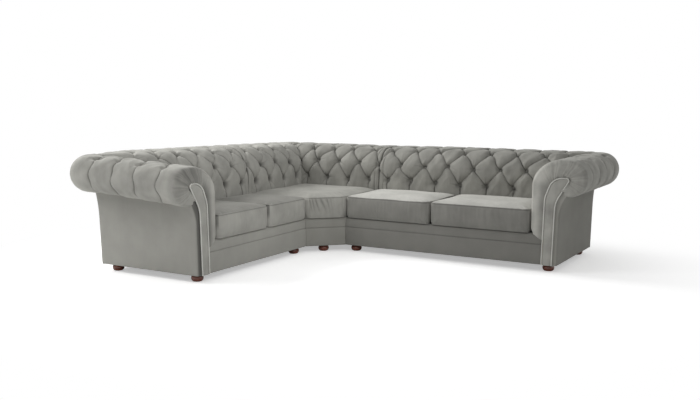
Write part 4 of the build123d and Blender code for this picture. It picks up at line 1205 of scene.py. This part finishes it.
def panel(name, unit, origin, run_way, out_way, stop, front=False):
    """Covered panel from a mitred outer corner to a unit's seam or to the arm's front."""
    up = np.concatenate([np.full(3, PANEL_LOW), np.linspace(PANEL_LOW, PANEL_TOP, PANEL_ROWS)])
    under = np.concatenate([TUCKED_IN, np.zeros(PANEL_ROWS)])
    up[3:6] += EDGE_UP
    under[3:6] = EDGE_IN
    start = -panel_out(up, 0)
    end = stop - FRONT_TURN if front else stop
    share = np.linspace(0, 1, PANEL_COLUMNS)
    run = start[:, None] + (end - start)[:, None] * share[None, :]
    ahead = ease(stop - FLARE_LENGTH, stop, run) if front else np.zeros_like(run)
    out = panel_out(up[:, None], ahead) - under[:, None]
    gap = np.clip(1 - (run - start[:, None]) / PANEL_EDGE, 0, 1)
    out = out - 0.5 * PANEL_EDGE * (1 - np.sqrt(1 - gap**2))
    puff_up = np.sin(pi * np.clip((up - PANEL_LOW) / PUFF_HEIGHT, 0, 1))
    puff = puff_up[:, None] * np.sin(pi * share)[None, :]
    out = out + PUFF * np.sqrt(np.clip(puff, 0, 1)) + 0.5 * np.sin(run / 90 + up[:, None] / 60)
    painted_shading = np.zeros_like(out)
    if front:
        swing = np.linspace(0, pi / 2, TURN_COLUMNS + 1)[1:]
        edge_run = np.tile(end + FRONT_TURN * np.sin(swing), (len(up), 1))
        edge_out = out[:, -1:] - FRONT_TURN * (1 - np.cos(swing))[None, :]
        strip = np.linspace(0, 1, STRIP_COLUMNS + 1)[None, 1:]
        strip_run = np.full((len(up), STRIP_COLUMNS), stop)
        strip_out = edge_out[:, -1:] + (FRONT_STRIP - edge_out[:, -1:]) * strip
        run = np.concatenate([run, edge_run, strip_run], axis=1)
        out = np.concatenate([out, edge_out, strip_out], axis=1)
        # Painted shade and highlight on the turned-in strip
        shade = STRIP_SHADE[unit] * np.concatenate([np.sin(swing) ** 6, np.ones(STRIP_COLUMNS)])
        painted_shading = np.concatenate([painted_shading, np.tile(shade, (len(up), 1))], axis=1)
    x = origin[0] + run * run_way[0] + out * out_way[0]
    y = origin[1] + run * run_way[1] + out * out_way[1]
    piece = new_grid(name, run.shape[1], len(up))
    set_points(piece, placed(x, y, np.tile(up[:, None], (1, run.shape[1])), unit))
    paint_shading(piece, painted_shading)
    outward = placed(np.array([out_way[0]]), np.array([out_way[1]]), np.array([0.0]), unit)
    outward = (outward - placed(np.zeros(1), np.zeros(1), np.zeros(1), unit))[0]
    normal = np.array(piece.data.polygons[len(piece.data.polygons) // 2].normal)
    if np.dot(outward, normal) < 0:
        piece.data.flip_normals()
    shape_with(piece, "SOLIDIFY", thickness=PANEL_SKIN / 1000, offset=-1)
    bpy.ops.object.shade_smooth_by_angle(angle=radians(60))
    piece.data.materials.append(panel_velvet[unit])
    return piece


panels = []
for unit, side in SIDE.items():
    outside = panel(
        f"{unit}_outside_back_panel", unit, (side, 0.0), (-1, 0), (0, 1), side - WING_SEAM
    )
    panels.append((outside, f"{unit}_outside_back", UNIT_BODY[unit]))
    outside = panel(
        f"{unit}_outside_arm_panel", unit, (side, 0.0), (0, -1), (1, 0), PANEL_FRONT, front=True
    )
    panels.append((outside, f"{unit}_outside_arm", UNIT_BODY[unit]))
for half in ("left", "right"):
    outside = panel(
        f"corner_outside_back_{half}_panel", half, (0.0, 0.0), (1, 0), (0, 1), CORNER_SEAM
    )
    panels.append((outside, f"corner_outside_back_{half}", "corner_unit"))
for piece, node, body in panels:
    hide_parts(node)
    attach(piece, body)


# Front borders: a padded strip over the front rail, stitched across below the seat.
# The lower panel is flat, the strip above the seam rolls back under the cushions.
ARM_IN = 100.2
BORDER_COLUMNS = 90
BORDER_FACE = 20.0
BORDER_END = (2.5, 8.0)
BORDER_SEAM = 178.0
# Painted shade along the border's seam
BORDER_SEAM_SHADE = (0.45, 2.2)
# The right wing's border gets a darker copy of the velvet: painted shade
border_velvet = {
    "left": panel_velvet["left"],
    "right": velvet_material("grey_velvet_right_border_painted_shade", "#807F7A", "#807F7A", 0.08, 0.2),
    "corner": panel_velvet["right"],
}
# Section of a border from its lower edge up over the front: how far behind the front, and height
BORDER_FORM = np.array(
    [
        (24, 46),
        (10, 46),
        (4, 47.5),
        (1.2, 52),
        (0, 62),
        (-1, 90),
        (-1.5, 115),
        (-1, 145),
        (0, 165),
        (1.5, 173),
        (3.5, 176.5),
        (5.5, 178),
        (4.2, 180),
        (3.0, 184),
        (2.6, 195),
        (3.2, 210),
        (5, 225),
        (8.5, 236),
        (14, 243),
        (20, 245.5),
        (24.5, 245.5),
        (24.5, 150),
    ]
)


def border(name, unit, place, half, flare, cover):
    """Front border about a middle point: place gives x and y from a run and a depth."""
    form = np.concatenate([BORDER_FORM, BORDER_FORM[:1]])
    share = np.linspace(-1, 1, BORDER_COLUMNS)
    behind, up = form[:, 0][:, None], np.tile(form[:, 1][:, None], (1, BORDER_COLUMNS))
    run = share[None, :] * (half + flare * behind)
    end = np.clip(1 - (half - np.abs(run)) / BORDER_END[1], 0, 1)
    soft = BORDER_END[0] * (1 - np.sqrt(1 - end**2)) + 0.5 * np.sin(run / 55 + up / 40)
    behind = behind + np.where(behind < BORDER_FACE, soft, 0)
    x, y = place(run, behind)
    piece = new_grid(name, BORDER_COLUMNS, len(form))
    set_points(piece, placed(x, y, up, unit))
    # Painted shade along the seam
    seam = BORDER_SEAM_SHADE[0] * bell(up - BORDER_SEAM, BORDER_SEAM_SHADE[1])
    paint_shading(piece, seam * (behind < BORDER_FACE))
    close_ends()
    bpy.ops.object.shade_smooth_by_angle(angle=radians(60))
    piece.data.materials.append(cover)
    return piece


for unit, side in SIDE.items():
    middle = (WING_SEAM + side - ARM_IN) / 2
    strip = border(
        f"{unit}_front_border_strip",
        unit,
        lambda run, behind: (middle + run, behind - BASE_DEPTH),
        (side - ARM_IN - WING_SEAM) / 2,
        0,
        border_velvet[unit],
    )
    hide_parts(f"{unit}_front_border")
    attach(strip, UNIT_BODY[unit])
nose = (CORNER_SIDE + BASE_DEPTH) / 2
strip = border(
    "corner_front_border_strip",
    "right",
    lambda run, behind: (nose + (run - behind) / sqrt(2), -nose + (run + behind) / sqrt(2)),
    (CORNER_SEAM - nose) * sqrt(2),
    1,
    border_velvet["corner"],
)
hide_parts("corner_front_border")
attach(strip, "corner_unit")


# Arm facings: boomerang boards covered in velvet, pinned over the gathers of the arm's front.
# Pale piping is sewn round their edge.
FACING_CORNERS = [(-95, 46), (-82, 481), (-32, 609), (80, 609), (-16, 452), (-29, 46)]
FACING_ROUNDS = [150, 90, 14, 180]
FACING_STEP = 5.0
FACING_ROWS = 90
FACING_BACK = 782.0
FACING_FACE = 803.0
PIPING_RADIUS = 4.0
PIPING_GAP = 0.2
# Across a facing: share of its width, and how far it stands out from its back
FACING_FORM = [
    (0, 0),
    (0, 17),
    (0.03, 20),
    (0.1, 22.4),
    (0.25, 23.6),
    (0.5, 24),
    (0.75, 23.6),
    (0.9, 22.4),
    (0.97, 20),
    (1, 17),
    (1, 0),
]


def rounded(corners, rounds, step):
    """Points along straight runs joined by arcs of the given radii."""
    corners = [np.array(c, dtype=float) for c in corners]
    line = [corners[0]]
    for i, radius in enumerate(rounds, start=1):
        before = corners[i - 1] - corners[i]
        after = corners[i + 1] - corners[i]
        before, after = before / np.linalg.norm(before), after / np.linalg.norm(after)
        half = np.arccos(np.clip(np.dot(before, after), -1, 1)) / 2
        middle = (before + after) / np.linalg.norm(before + after)
        centre = corners[i] + middle * radius / np.sin(half)
        first = corners[i] + before * radius / np.tan(half) - centre
        last = corners[i] + after * radius / np.tan(half) - centre
        sweep = np.arctan2(first[0] * last[1] - first[1] * last[0], np.dot(first, last))
        for share in np.linspace(0, 1, max(4, int(abs(sweep) * radius / step))):
            c, s = np.cos(sweep * share), np.sin(sweep * share)
            line.append(centre + np.array((first[0] * c - first[1] * s, first[0] * s + first[1] * c)))
    line.append(corners[-1])
    full = [line[0]]
    for point in line[1:]:
        steps = max(1, int(np.linalg.norm(point - full[-1]) / (2 * step)))
        origin = full[-1]
        full += [origin + (point - origin) * (k + 1) / steps for k in range(steps)]
    return np.array(full)


piping_velvet = velvet_material("piping_velvet", "#CFCFC9", "#CFCFC9")
edge = rounded(FACING_CORNERS, FACING_ROUNDS, FACING_STEP)
tangent = np.gradient(edge, axis=0)
tangent = tangent / np.linalg.norm(tangent, axis=1)[:, None]
inward = np.stack([tangent[:, 1], -tangent[:, 0]], axis=1)
board_edge = edge + inward * (PIPING_RADIUS + PIPING_GAP)


def resample(line, count):
    """Points at equal steps along a line."""
    far = np.concatenate([[0], np.cumsum(np.linalg.norm(np.diff(line, axis=0), axis=1))])
    at = np.linspace(0, far[-1], count)
    return np.stack([np.interp(at, far, line[:, 0]), np.interp(at, far, line[:, 1])], axis=1)


tip = int(np.argmax(edge[:, 0]))
inner_edge = resample(board_edge[:tip], FACING_ROWS)
outer_edge = resample(board_edge[tip + 1 :][::-1], FACING_ROWS)
form = np.array(FACING_FORM + FACING_FORM[:1])
for unit, side in SIDE.items():
    facing = new_grid(f"{unit}_arm_facing_board", len(form), FACING_ROWS)
    across = inner_edge[:, None, :] + (outer_edge - inner_edge)[:, None, :] * form[None, :, :1]
    ahead = np.tile(FACING_BACK + form[None, :, 1], (FACING_ROWS, 1))
    set_points(facing, placed(side + across[:, :, 0], -ahead, across[:, :, 1], unit))
    close_ends()
    bpy.ops.object.shade_smooth_by_angle(angle=radians(50))
    facing.data.materials.append(arm_velvet[unit])
    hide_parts(f"{unit}_arm_facing")
    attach(facing, UNIT_BODY[unit])

    bpy.ops.object.select_all(action="DESELECT")
    bpy.ops.mesh.primitive_circle_add(vertices=len(edge), radius=1)
    piping = bpy.context.object
    piping.name = f"{unit}_facing_piping_cord"
    set_points(piping, placed(side + edge[:, 0], np.full(len(edge), -FACING_FACE), edge[:, 1], unit))
    bpy.ops.object.mode_set(mode="EDIT")
    bpy.ops.mesh.select_all(action="DESELECT")
    piece_mesh = bmesh.from_edit_mesh(piping.data)
    closing = [e for e in piece_mesh.edges if {e.verts[0].index, e.verts[1].index} == {0, len(edge) - 1}]
    bmesh.ops.delete(piece_mesh, geom=closing, context="EDGES")
    bmesh.update_edit_mesh(piping.data)
    bpy.ops.object.mode_set(mode="OBJECT")
    bpy.ops.object.convert(target="CURVE")
    piping = bpy.context.object
    piping.data.bevel_depth = PIPING_RADIUS / 1000
    piping.data.bevel_resolution = 3
    piping.data.use_fill_caps = True
    bpy.ops.object.convert(target="MESH")
    piping = bpy.context.object
    bpy.ops.object.shade_smooth()
    piping.data.materials.clear()
    piping.data.materials.append(piping_velvet)
    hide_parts(f"{unit}_facing_piping")
    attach(piping, UNIT_BODY[unit])


# Seat cushions: loose boxed cushions of foam and fibre, covered in velvet.
# A sewn boxing strip goes round the sides; the top crowns, the fronts fall in soft streaks.
CUSHION_LOW = 245.6
CUSHION_SEAM = 392.0
CUSHION_TOP = 402.0
CUSHION_INSET = 5.0
CUSHION_CORNER = 34.0
CUSHION_STEP = 6.0
CUSHION_EDGE = 16.0
CUSHION_VOXEL = 0.008
CUSHION_PRESSURE = 4.0
CUSHION_FRAMES = 18
CUSHION_SWELL = 0.02
PAD_SWELL = 4.0
OVERHANG = 17.0
SPLIT = {"left": 1463.0, "right": 1666.0}
HALF_SPLIT = 0.25
# What is held while a cushion is blown up: its underside, and its seam less firmly
HELD_LOW = 4.0
HELD_SEAM = 9.0
HELD_REACH = 14.0
SEAM_HOLD = 0.35
# Stitched grooves at the seam and above the foot, on the sides only
GROOVE_DEPTH = 3.0
FOOT_DEPTH = 2.5
FOOT_SEAM = 12.0
GROOVE_WIDTH = 3.2
# Painted shade in the seam's groove
GROOVE_SHADE = 0.6
SIDE_REACH = (60, 20)
# Soft streaks down a front, where it is flat, and the pleats in the corner seat's front
STREAK_COUNT = 7
STREAK_DEPTH = 0.35
STREAK_WAVES = (24, 75)
STREAK_LEAN = (-0.12, 0.12)
FACE_REACH = (55, 25)
FACE_FROM = (0.02, 0.15)
FACE_UNTIL = (1.02, 0.9)
CORNER_GATHERS = 6.0
GATHERS_UP = (0.15, 0.8)
GATHERS_ACROSS = (0.8, 0.45)
# Painted shade in the corner seat's pleats
GATHERED_SHADE = 0.55
CROWN_WAVE = 1.2
# The sides at the gaps between seats: painted shade on the left wing, painted highlight elsewhere
GAP_SHADE = {"left": 0.7, "right": -0.3}
GAP_REACH = (26, 10)
GAP_UP = (0.3, 0.7)
# Seat velvets whose tops differ in tone from their upright faces, painted light and shade: the left seats'
# tops darker, the right seats' tops much lighter, the right seats' fronts darker
seat_velvet = {
    "left": velvet_material("grey_velvet_left_seats_painted_shading", "#A09F99", "#7C7B76", 0.15, 0.5),
    "right": velvet_material("grey_velvet_right_seats_painted_shading", "#84837E", "#C2C1BB", 0.15, 0.5),
    "corner": velvet_material("grey_velvet_corner_seat_painted_light", "#9B9A94", "#999892", 0.15, 0.5),
}


def swell(piece, pins, pressure, frames, cap):
    """Blow a cushion up as cloth, hold its pinned points, and keep the result in the mesh."""
    before = get_points(piece)
    group = piece.vertex_groups.new(name="held")
    for weight in np.unique(pins):
        if weight > 0:
            group.add([int(i) for i in np.nonzero(pins == weight)[0]], float(weight), "REPLACE")
    bpy.ops.object.modifier_add(type="CLOTH")
    cloth = piece.modifiers[-1]
    cloth.settings.quality = 4
    cloth.settings.use_pressure = True
    cloth.settings.uniform_pressure_force = pressure
    cloth.settings.effector_weights.gravity = 0
    cloth.settings.vertex_group_mass = "held"
    cloth.settings.tension_stiffness = 12
    cloth.settings.compression_stiffness = 12
    cloth.settings.shear_stiffness = 6
    cloth.settings.bending_stiffness = 1.5
    cloth.settings.air_damping = 2
    cloth.point_cache.frame_end = frames
    for at in range(1, frames + 1):
        bpy.context.scene.frame_set(at)
    bpy.ops.object.modifier_apply(modifier=cloth.name)
    bpy.context.scene.frame_set(1)
    piece.vertex_groups.clear()
    moved = get_points(piece) - before
    far = np.linalg.norm(moved, axis=1)
    set_points(piece, before + moved * np.minimum(1, cap / np.maximum(far, 1e-9))[:, None])


def outline_gap(points, outline):
    """Distance of points from the nearest side of an outline, and that side's number."""
    best = np.full(len(points), 1e9)
    which = np.zeros(len(points), dtype=int)
    for i, start in enumerate(outline):
        end = outline[(i + 1) % len(outline)]
        gap = beside(points[:, 0], points[:, 1], start, end)[0]
        which = np.where(gap < best, i, which)
        best = np.minimum(best, gap)
    return best, which


def cushion(name, unit, outline, front, seed, cover, gathers=0.0):
    """Boxed cushion in a plan outline, anticlockwise in mm; front is the number of its front side."""
    middle = np.mean(outline, axis=0)
    start = (np.array(outline[-1]) + np.array(outline[0])) / 2
    corners = [start] + list(outline) + [start]
    ring = rounded(corners, [CUSHION_CORNER] * len(outline), CUSHION_STEP)[:-1]
    ring = middle + (ring - middle) * (1 - CUSHION_INSET * 2 / np.ptp(ring, axis=0))
    bpy.ops.object.select_all(action="DESELECT")
    bpy.ops.mesh.primitive_circle_add(vertices=len(ring), radius=1, fill_type="NGON")
    piece = bpy.context.object
    piece.name = name
    set_points(piece, np.column_stack([ring, np.full(len(ring), CUSHION_LOW)]) / 1000)
    bpy.ops.object.mode_set(mode="EDIT")
    bpy.ops.mesh.select_all(action="SELECT")
    rise = (0, 0, (CUSHION_TOP - CUSHION_LOW) / 1000)
    bpy.ops.mesh.extrude_region_move(TRANSFORM_OT_translate={"value": rise})
    bpy.ops.mesh.select_all(action="SELECT")
    bpy.ops.mesh.normals_make_consistent(inside=False)
    bpy.ops.object.mode_set(mode="OBJECT")
    shape_with(piece, "BEVEL", width=CUSHION_EDGE / 1000, segments=4, angle_limit=radians(60))
    shape_with(piece, "REMESH", mode="VOXEL", voxel_size=CUSHION_VOXEL)
    points = get_points(piece) * 1000
    gap, side = outline_gap(points, outline)
    pins = np.where(points[:, 2] < CUSHION_LOW + HELD_LOW, 1.0, 0.0)
    on_seam = (np.abs(points[:, 2] - CUSHION_SEAM) < HELD_SEAM) & (gap < HELD_REACH)
    pins = np.where(on_seam, SEAM_HOLD, pins)
    swell(piece, pins, CUSHION_PRESSURE, CUSHION_FRAMES, CUSHION_SWELL)
    shape_with(piece, "SUBSURF", levels=1, render_levels=1)
    points = get_points(piece) * 1000
    gap, side = outline_gap(points, outline)
    away = points[:, :2] - middle
    away = away / np.maximum(np.linalg.norm(away, axis=1), 1e-6)[:, None]
    flank = ease(*SIDE_REACH, gap)
    seam = bell(points[:, 2] - CUSHION_SEAM, GROOVE_WIDTH) * flank
    foot = bell(points[:, 2] - CUSHION_LOW - FOOT_SEAM, GROOVE_WIDTH) * flank
    points[:, :2] -= away * (GROOVE_DEPTH * seam + FOOT_DEPTH * foot)[:, None]
    draw = np.random.default_rng(seed)
    start, end = np.array(outline[front]), np.array(outline[(front + 1) % len(outline)])
    span = np.linalg.norm(end - start)
    way = (end - start) / span
    out = np.array((way[1], -way[0]))
    at = (points[:, :2] - start) @ way
    height = np.clip((points[:, 2] - CUSHION_LOW) / (CUSHION_SEAM - CUSHION_LOW), 0, 1)
    face = (side == front) * ease(*FACE_REACH, gap) * ease(*FACE_FROM, height) * ease(*FACE_UNTIL, height)
    ripple = np.zeros(len(points))
    pleats = np.zeros(len(points))
    for _ in range(STREAK_COUNT):
        wave, phase, lean = draw.uniform(*STREAK_WAVES), draw.uniform(0, 2 * pi), draw.uniform(*STREAK_LEAN)
        ripple += STREAK_DEPTH * np.sin(2 * pi * (at + lean * points[:, 2]) / wave + phase)
    if gathers:
        tight = np.abs(np.sin(pi * (at + 0.25 * points[:, 2]) / 27 + 1.7 * np.sin(at / 31)))
        pleats = (1 - tight) ** 1.5 * ease(*GATHERS_UP, height) * ease(*GATHERS_ACROSS, at / span)
        ripple -= gathers * pleats
    points[:, :2] += out[None, :] * (ripple * face)[:, None]
    crown = points[:, 2] > CUSHION_SEAM + 4
    wave = np.sin(points[:, 0] / 47 + seed) * np.sin(points[:, 1] / 61 + 2 * seed)
    points[:, 2] += np.where(crown, CROWN_WAVE * wave, 0)
    # Painted shade in the seam groove, the pleats and the left wing's gaps, painted highlight at the other
    # gaps
    between = GAP_SHADE[unit] * (side != front) * ease(*GAP_REACH, gap) * ease(*GAP_UP, height)
    paint_shading(piece, GROOVE_SHADE * seam + between + GATHERED_SHADE * pleats * face)
    set_points(piece, placed(points[:, 0], points[:, 1], points[:, 2], unit))
    if unit == "left":
        piece.data.flip_normals()
    bpy.ops.object.shade_smooth()
    piece.data.materials.append(cover)
    return piece


for unit, side in SIDE.items():
    spans = {
        "cushion_seam": (WING_SEAM, SPLIT[unit] - HALF_SPLIT),
        "cushion_arm": (SPLIT[unit] + HALF_SPLIT, side - ARM[0] - PAD_SWELL),
    }
    low, high = -BASE_DEPTH - OVERHANG, -BACK[0] - PAD_SWELL
    for part, (near, far) in spans.items():
        outline = [(near, low), (far, low), (far, high), (near, high)]
        seed = len(part) + len(unit)
        loose = cushion(f"{unit}_{part}_loose", unit, outline, 0, seed, seat_velvet[unit])
        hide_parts(f"{unit}_{part}")
        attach(loose, f"{unit}_{part}_body")
inset = BACK[0] + PAD_SWELL
reach = CORNER_SIDE + BASE_DEPTH + OVERHANG * sqrt(2) - CORNER_SEAM
outline = [
    (inset, -CORNER_SEAM),
    (reach, -CORNER_SEAM),
    (CORNER_SEAM, -reach),
    (CORNER_SEAM, -inset),
    (inset, -inset),
]
loose = cushion(
    "corner_cushion_loose", "right", outline, 1, 5, seat_velvet["corner"], gathers=CORNER_GATHERS
)
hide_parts("corner_cushion")
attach(loose, "corner_cushion_body")


# Studio: a plain white floor under a white surround, with broad soft lamps high on the left and
# in front, and a faint one from the right on the left wing. The camera stands at chest height.
bpy.ops.object.select_all(action="DESELECT")
bpy.ops.mesh.primitive_plane_add(size=60, location=(0, 0, 0))
floor = bpy.context.object
floor.name = "studio_floor"
paper = new_material("white_studio_floor")
spot = add_node(paper, "ShaderNodeTexCoord")
soft = add_node(
    paper, "ShaderNodeTexNoise", {"Scale": 0.4, "Detail": 1.0}, {"Vector": spot.outputs["Object"]}
)
white = add_node(
    paper,
    "ShaderNodeMix",
    {"data_type": "RGBA", 6: linear("#F4F4F4"), 7: linear("#F7F7F7")},
    {0: soft.outputs["Fac"]},
)
lit = add_node(paper, "ShaderNodeBsdfDiffuse", {}, {"Color": white.outputs[2]})
dull = add_node(paper, "ShaderNodeBsdfDiffuse", {"Color": (1.0, 1.0, 1.0, 1)})
glow = add_node(paper, "ShaderNodeEmission", {"Strength": 0.42})
near = add_node(paper, "ShaderNodeAddShader", {}, {0: dull.outputs["BSDF"], 1: glow.outputs["Emission"]})
far = add_node(paper, "ShaderNodeEmission", {"Strength": 1.0})
away = add_node(paper, "ShaderNodeVectorMath", {"operation": "LENGTH"}, {0: spot.outputs["Object"]})
fade = add_node(
    paper,
    "ShaderNodeMapRange",
    {"interpolation_type": "SMOOTHSTEP", "From Min": 1.45, "From Max": 2.7},
    {"Value": away.outputs["Value"]},
)
seen = add_node(
    paper,
    "ShaderNodeMixShader",
    {},
    {0: fade.outputs["Result"], 1: near.outputs["Shader"], 2: far.outputs["Emission"]},
)
rays = add_node(paper, "ShaderNodeLightPath")
both = add_node(
    paper,
    "ShaderNodeMixShader",
    {},
    {0: rays.outputs["Is Camera Ray"], 1: lit.outputs["BSDF"], 2: seen.outputs["Shader"]},
)
add_node(paper, "ShaderNodeOutputMaterial", {}, {"Surface": both.outputs["Shader"]})
floor.data.materials.append(paper)

AMBIENT = 0.43
world = bpy.data.worlds.new("white_surround")
bpy.context.scene.world = world
world.use_nodes = True
world.node_tree.nodes.clear()
rays = add_node(world, "ShaderNodeLightPath")
seen = add_node(
    world,
    "ShaderNodeMath",
    {"operation": "MAXIMUM"},
    {0: rays.outputs["Is Camera Ray"], 1: rays.outputs["Is Glossy Ray"]},
)
seen = add_node(
    world,
    "ShaderNodeMath",
    {"operation": "MAXIMUM"},
    {0: seen.outputs["Value"], 1: rays.outputs["Is Transmission Ray"]},
)
level = add_node(
    world, "ShaderNodeMapRange", {"To Min": AMBIENT, "To Max": 1.0}, {"Value": seen.outputs["Value"]}
)
sky = add_node(
    world, "ShaderNodeBackground", {"Color": (1, 1, 1, 1)}, {"Strength": level.outputs["Result"]}
)
add_node(world, "ShaderNodeOutputWorld", {}, {"Surface": sky.outputs["Background"]})


def lamp(name, at, aim, size, power):
    """Broad soft light at a place, turned to a point."""
    bpy.ops.object.light_add(type="AREA", location=at)
    light = bpy.context.object
    light.name = name
    light.data.shape = "DISK"
    light.data.size = size
    light.data.energy = power
    way = np.array(aim, dtype=float) - np.array(at, dtype=float)
    tilt = np.arctan2(np.hypot(way[0], way[1]), -way[2])
    turn = np.arctan2(-way[0], way[1])
    light.rotation_euler = (float(tilt), 0.0, float(turn))
    return light


lamp("side_light", (-5.0, 0.6, 3.2), (0.3, 0.3, 0.4), 2.4, 215)
lamp("key_light", (-3.6, -3.2, 3.2), (-0.3, -0.3, 0.3), 2.5, 68)
back_light = lamp("back_light", (1.9, -2.2, 2.2), (-0.9, 0.0, 0.5), 1.2, 4)
back_light.data.spread = radians(50)

camera_data = bpy.data.cameras.new("photo_camera")
camera = bpy.data.objects.new("photo_camera", camera_data)
bpy.context.collection.objects.link(camera)
camera.location = (2.904, -5.091, 1.167)
camera.rotation_euler = (radians(82.746), 0, radians(30.247))
camera_data.lens = 45.18
camera_data.sensor_width = 36.0
bpy.context.scene.camera = camera
bpy.context.scene.view_settings.view_transform = "Standard"
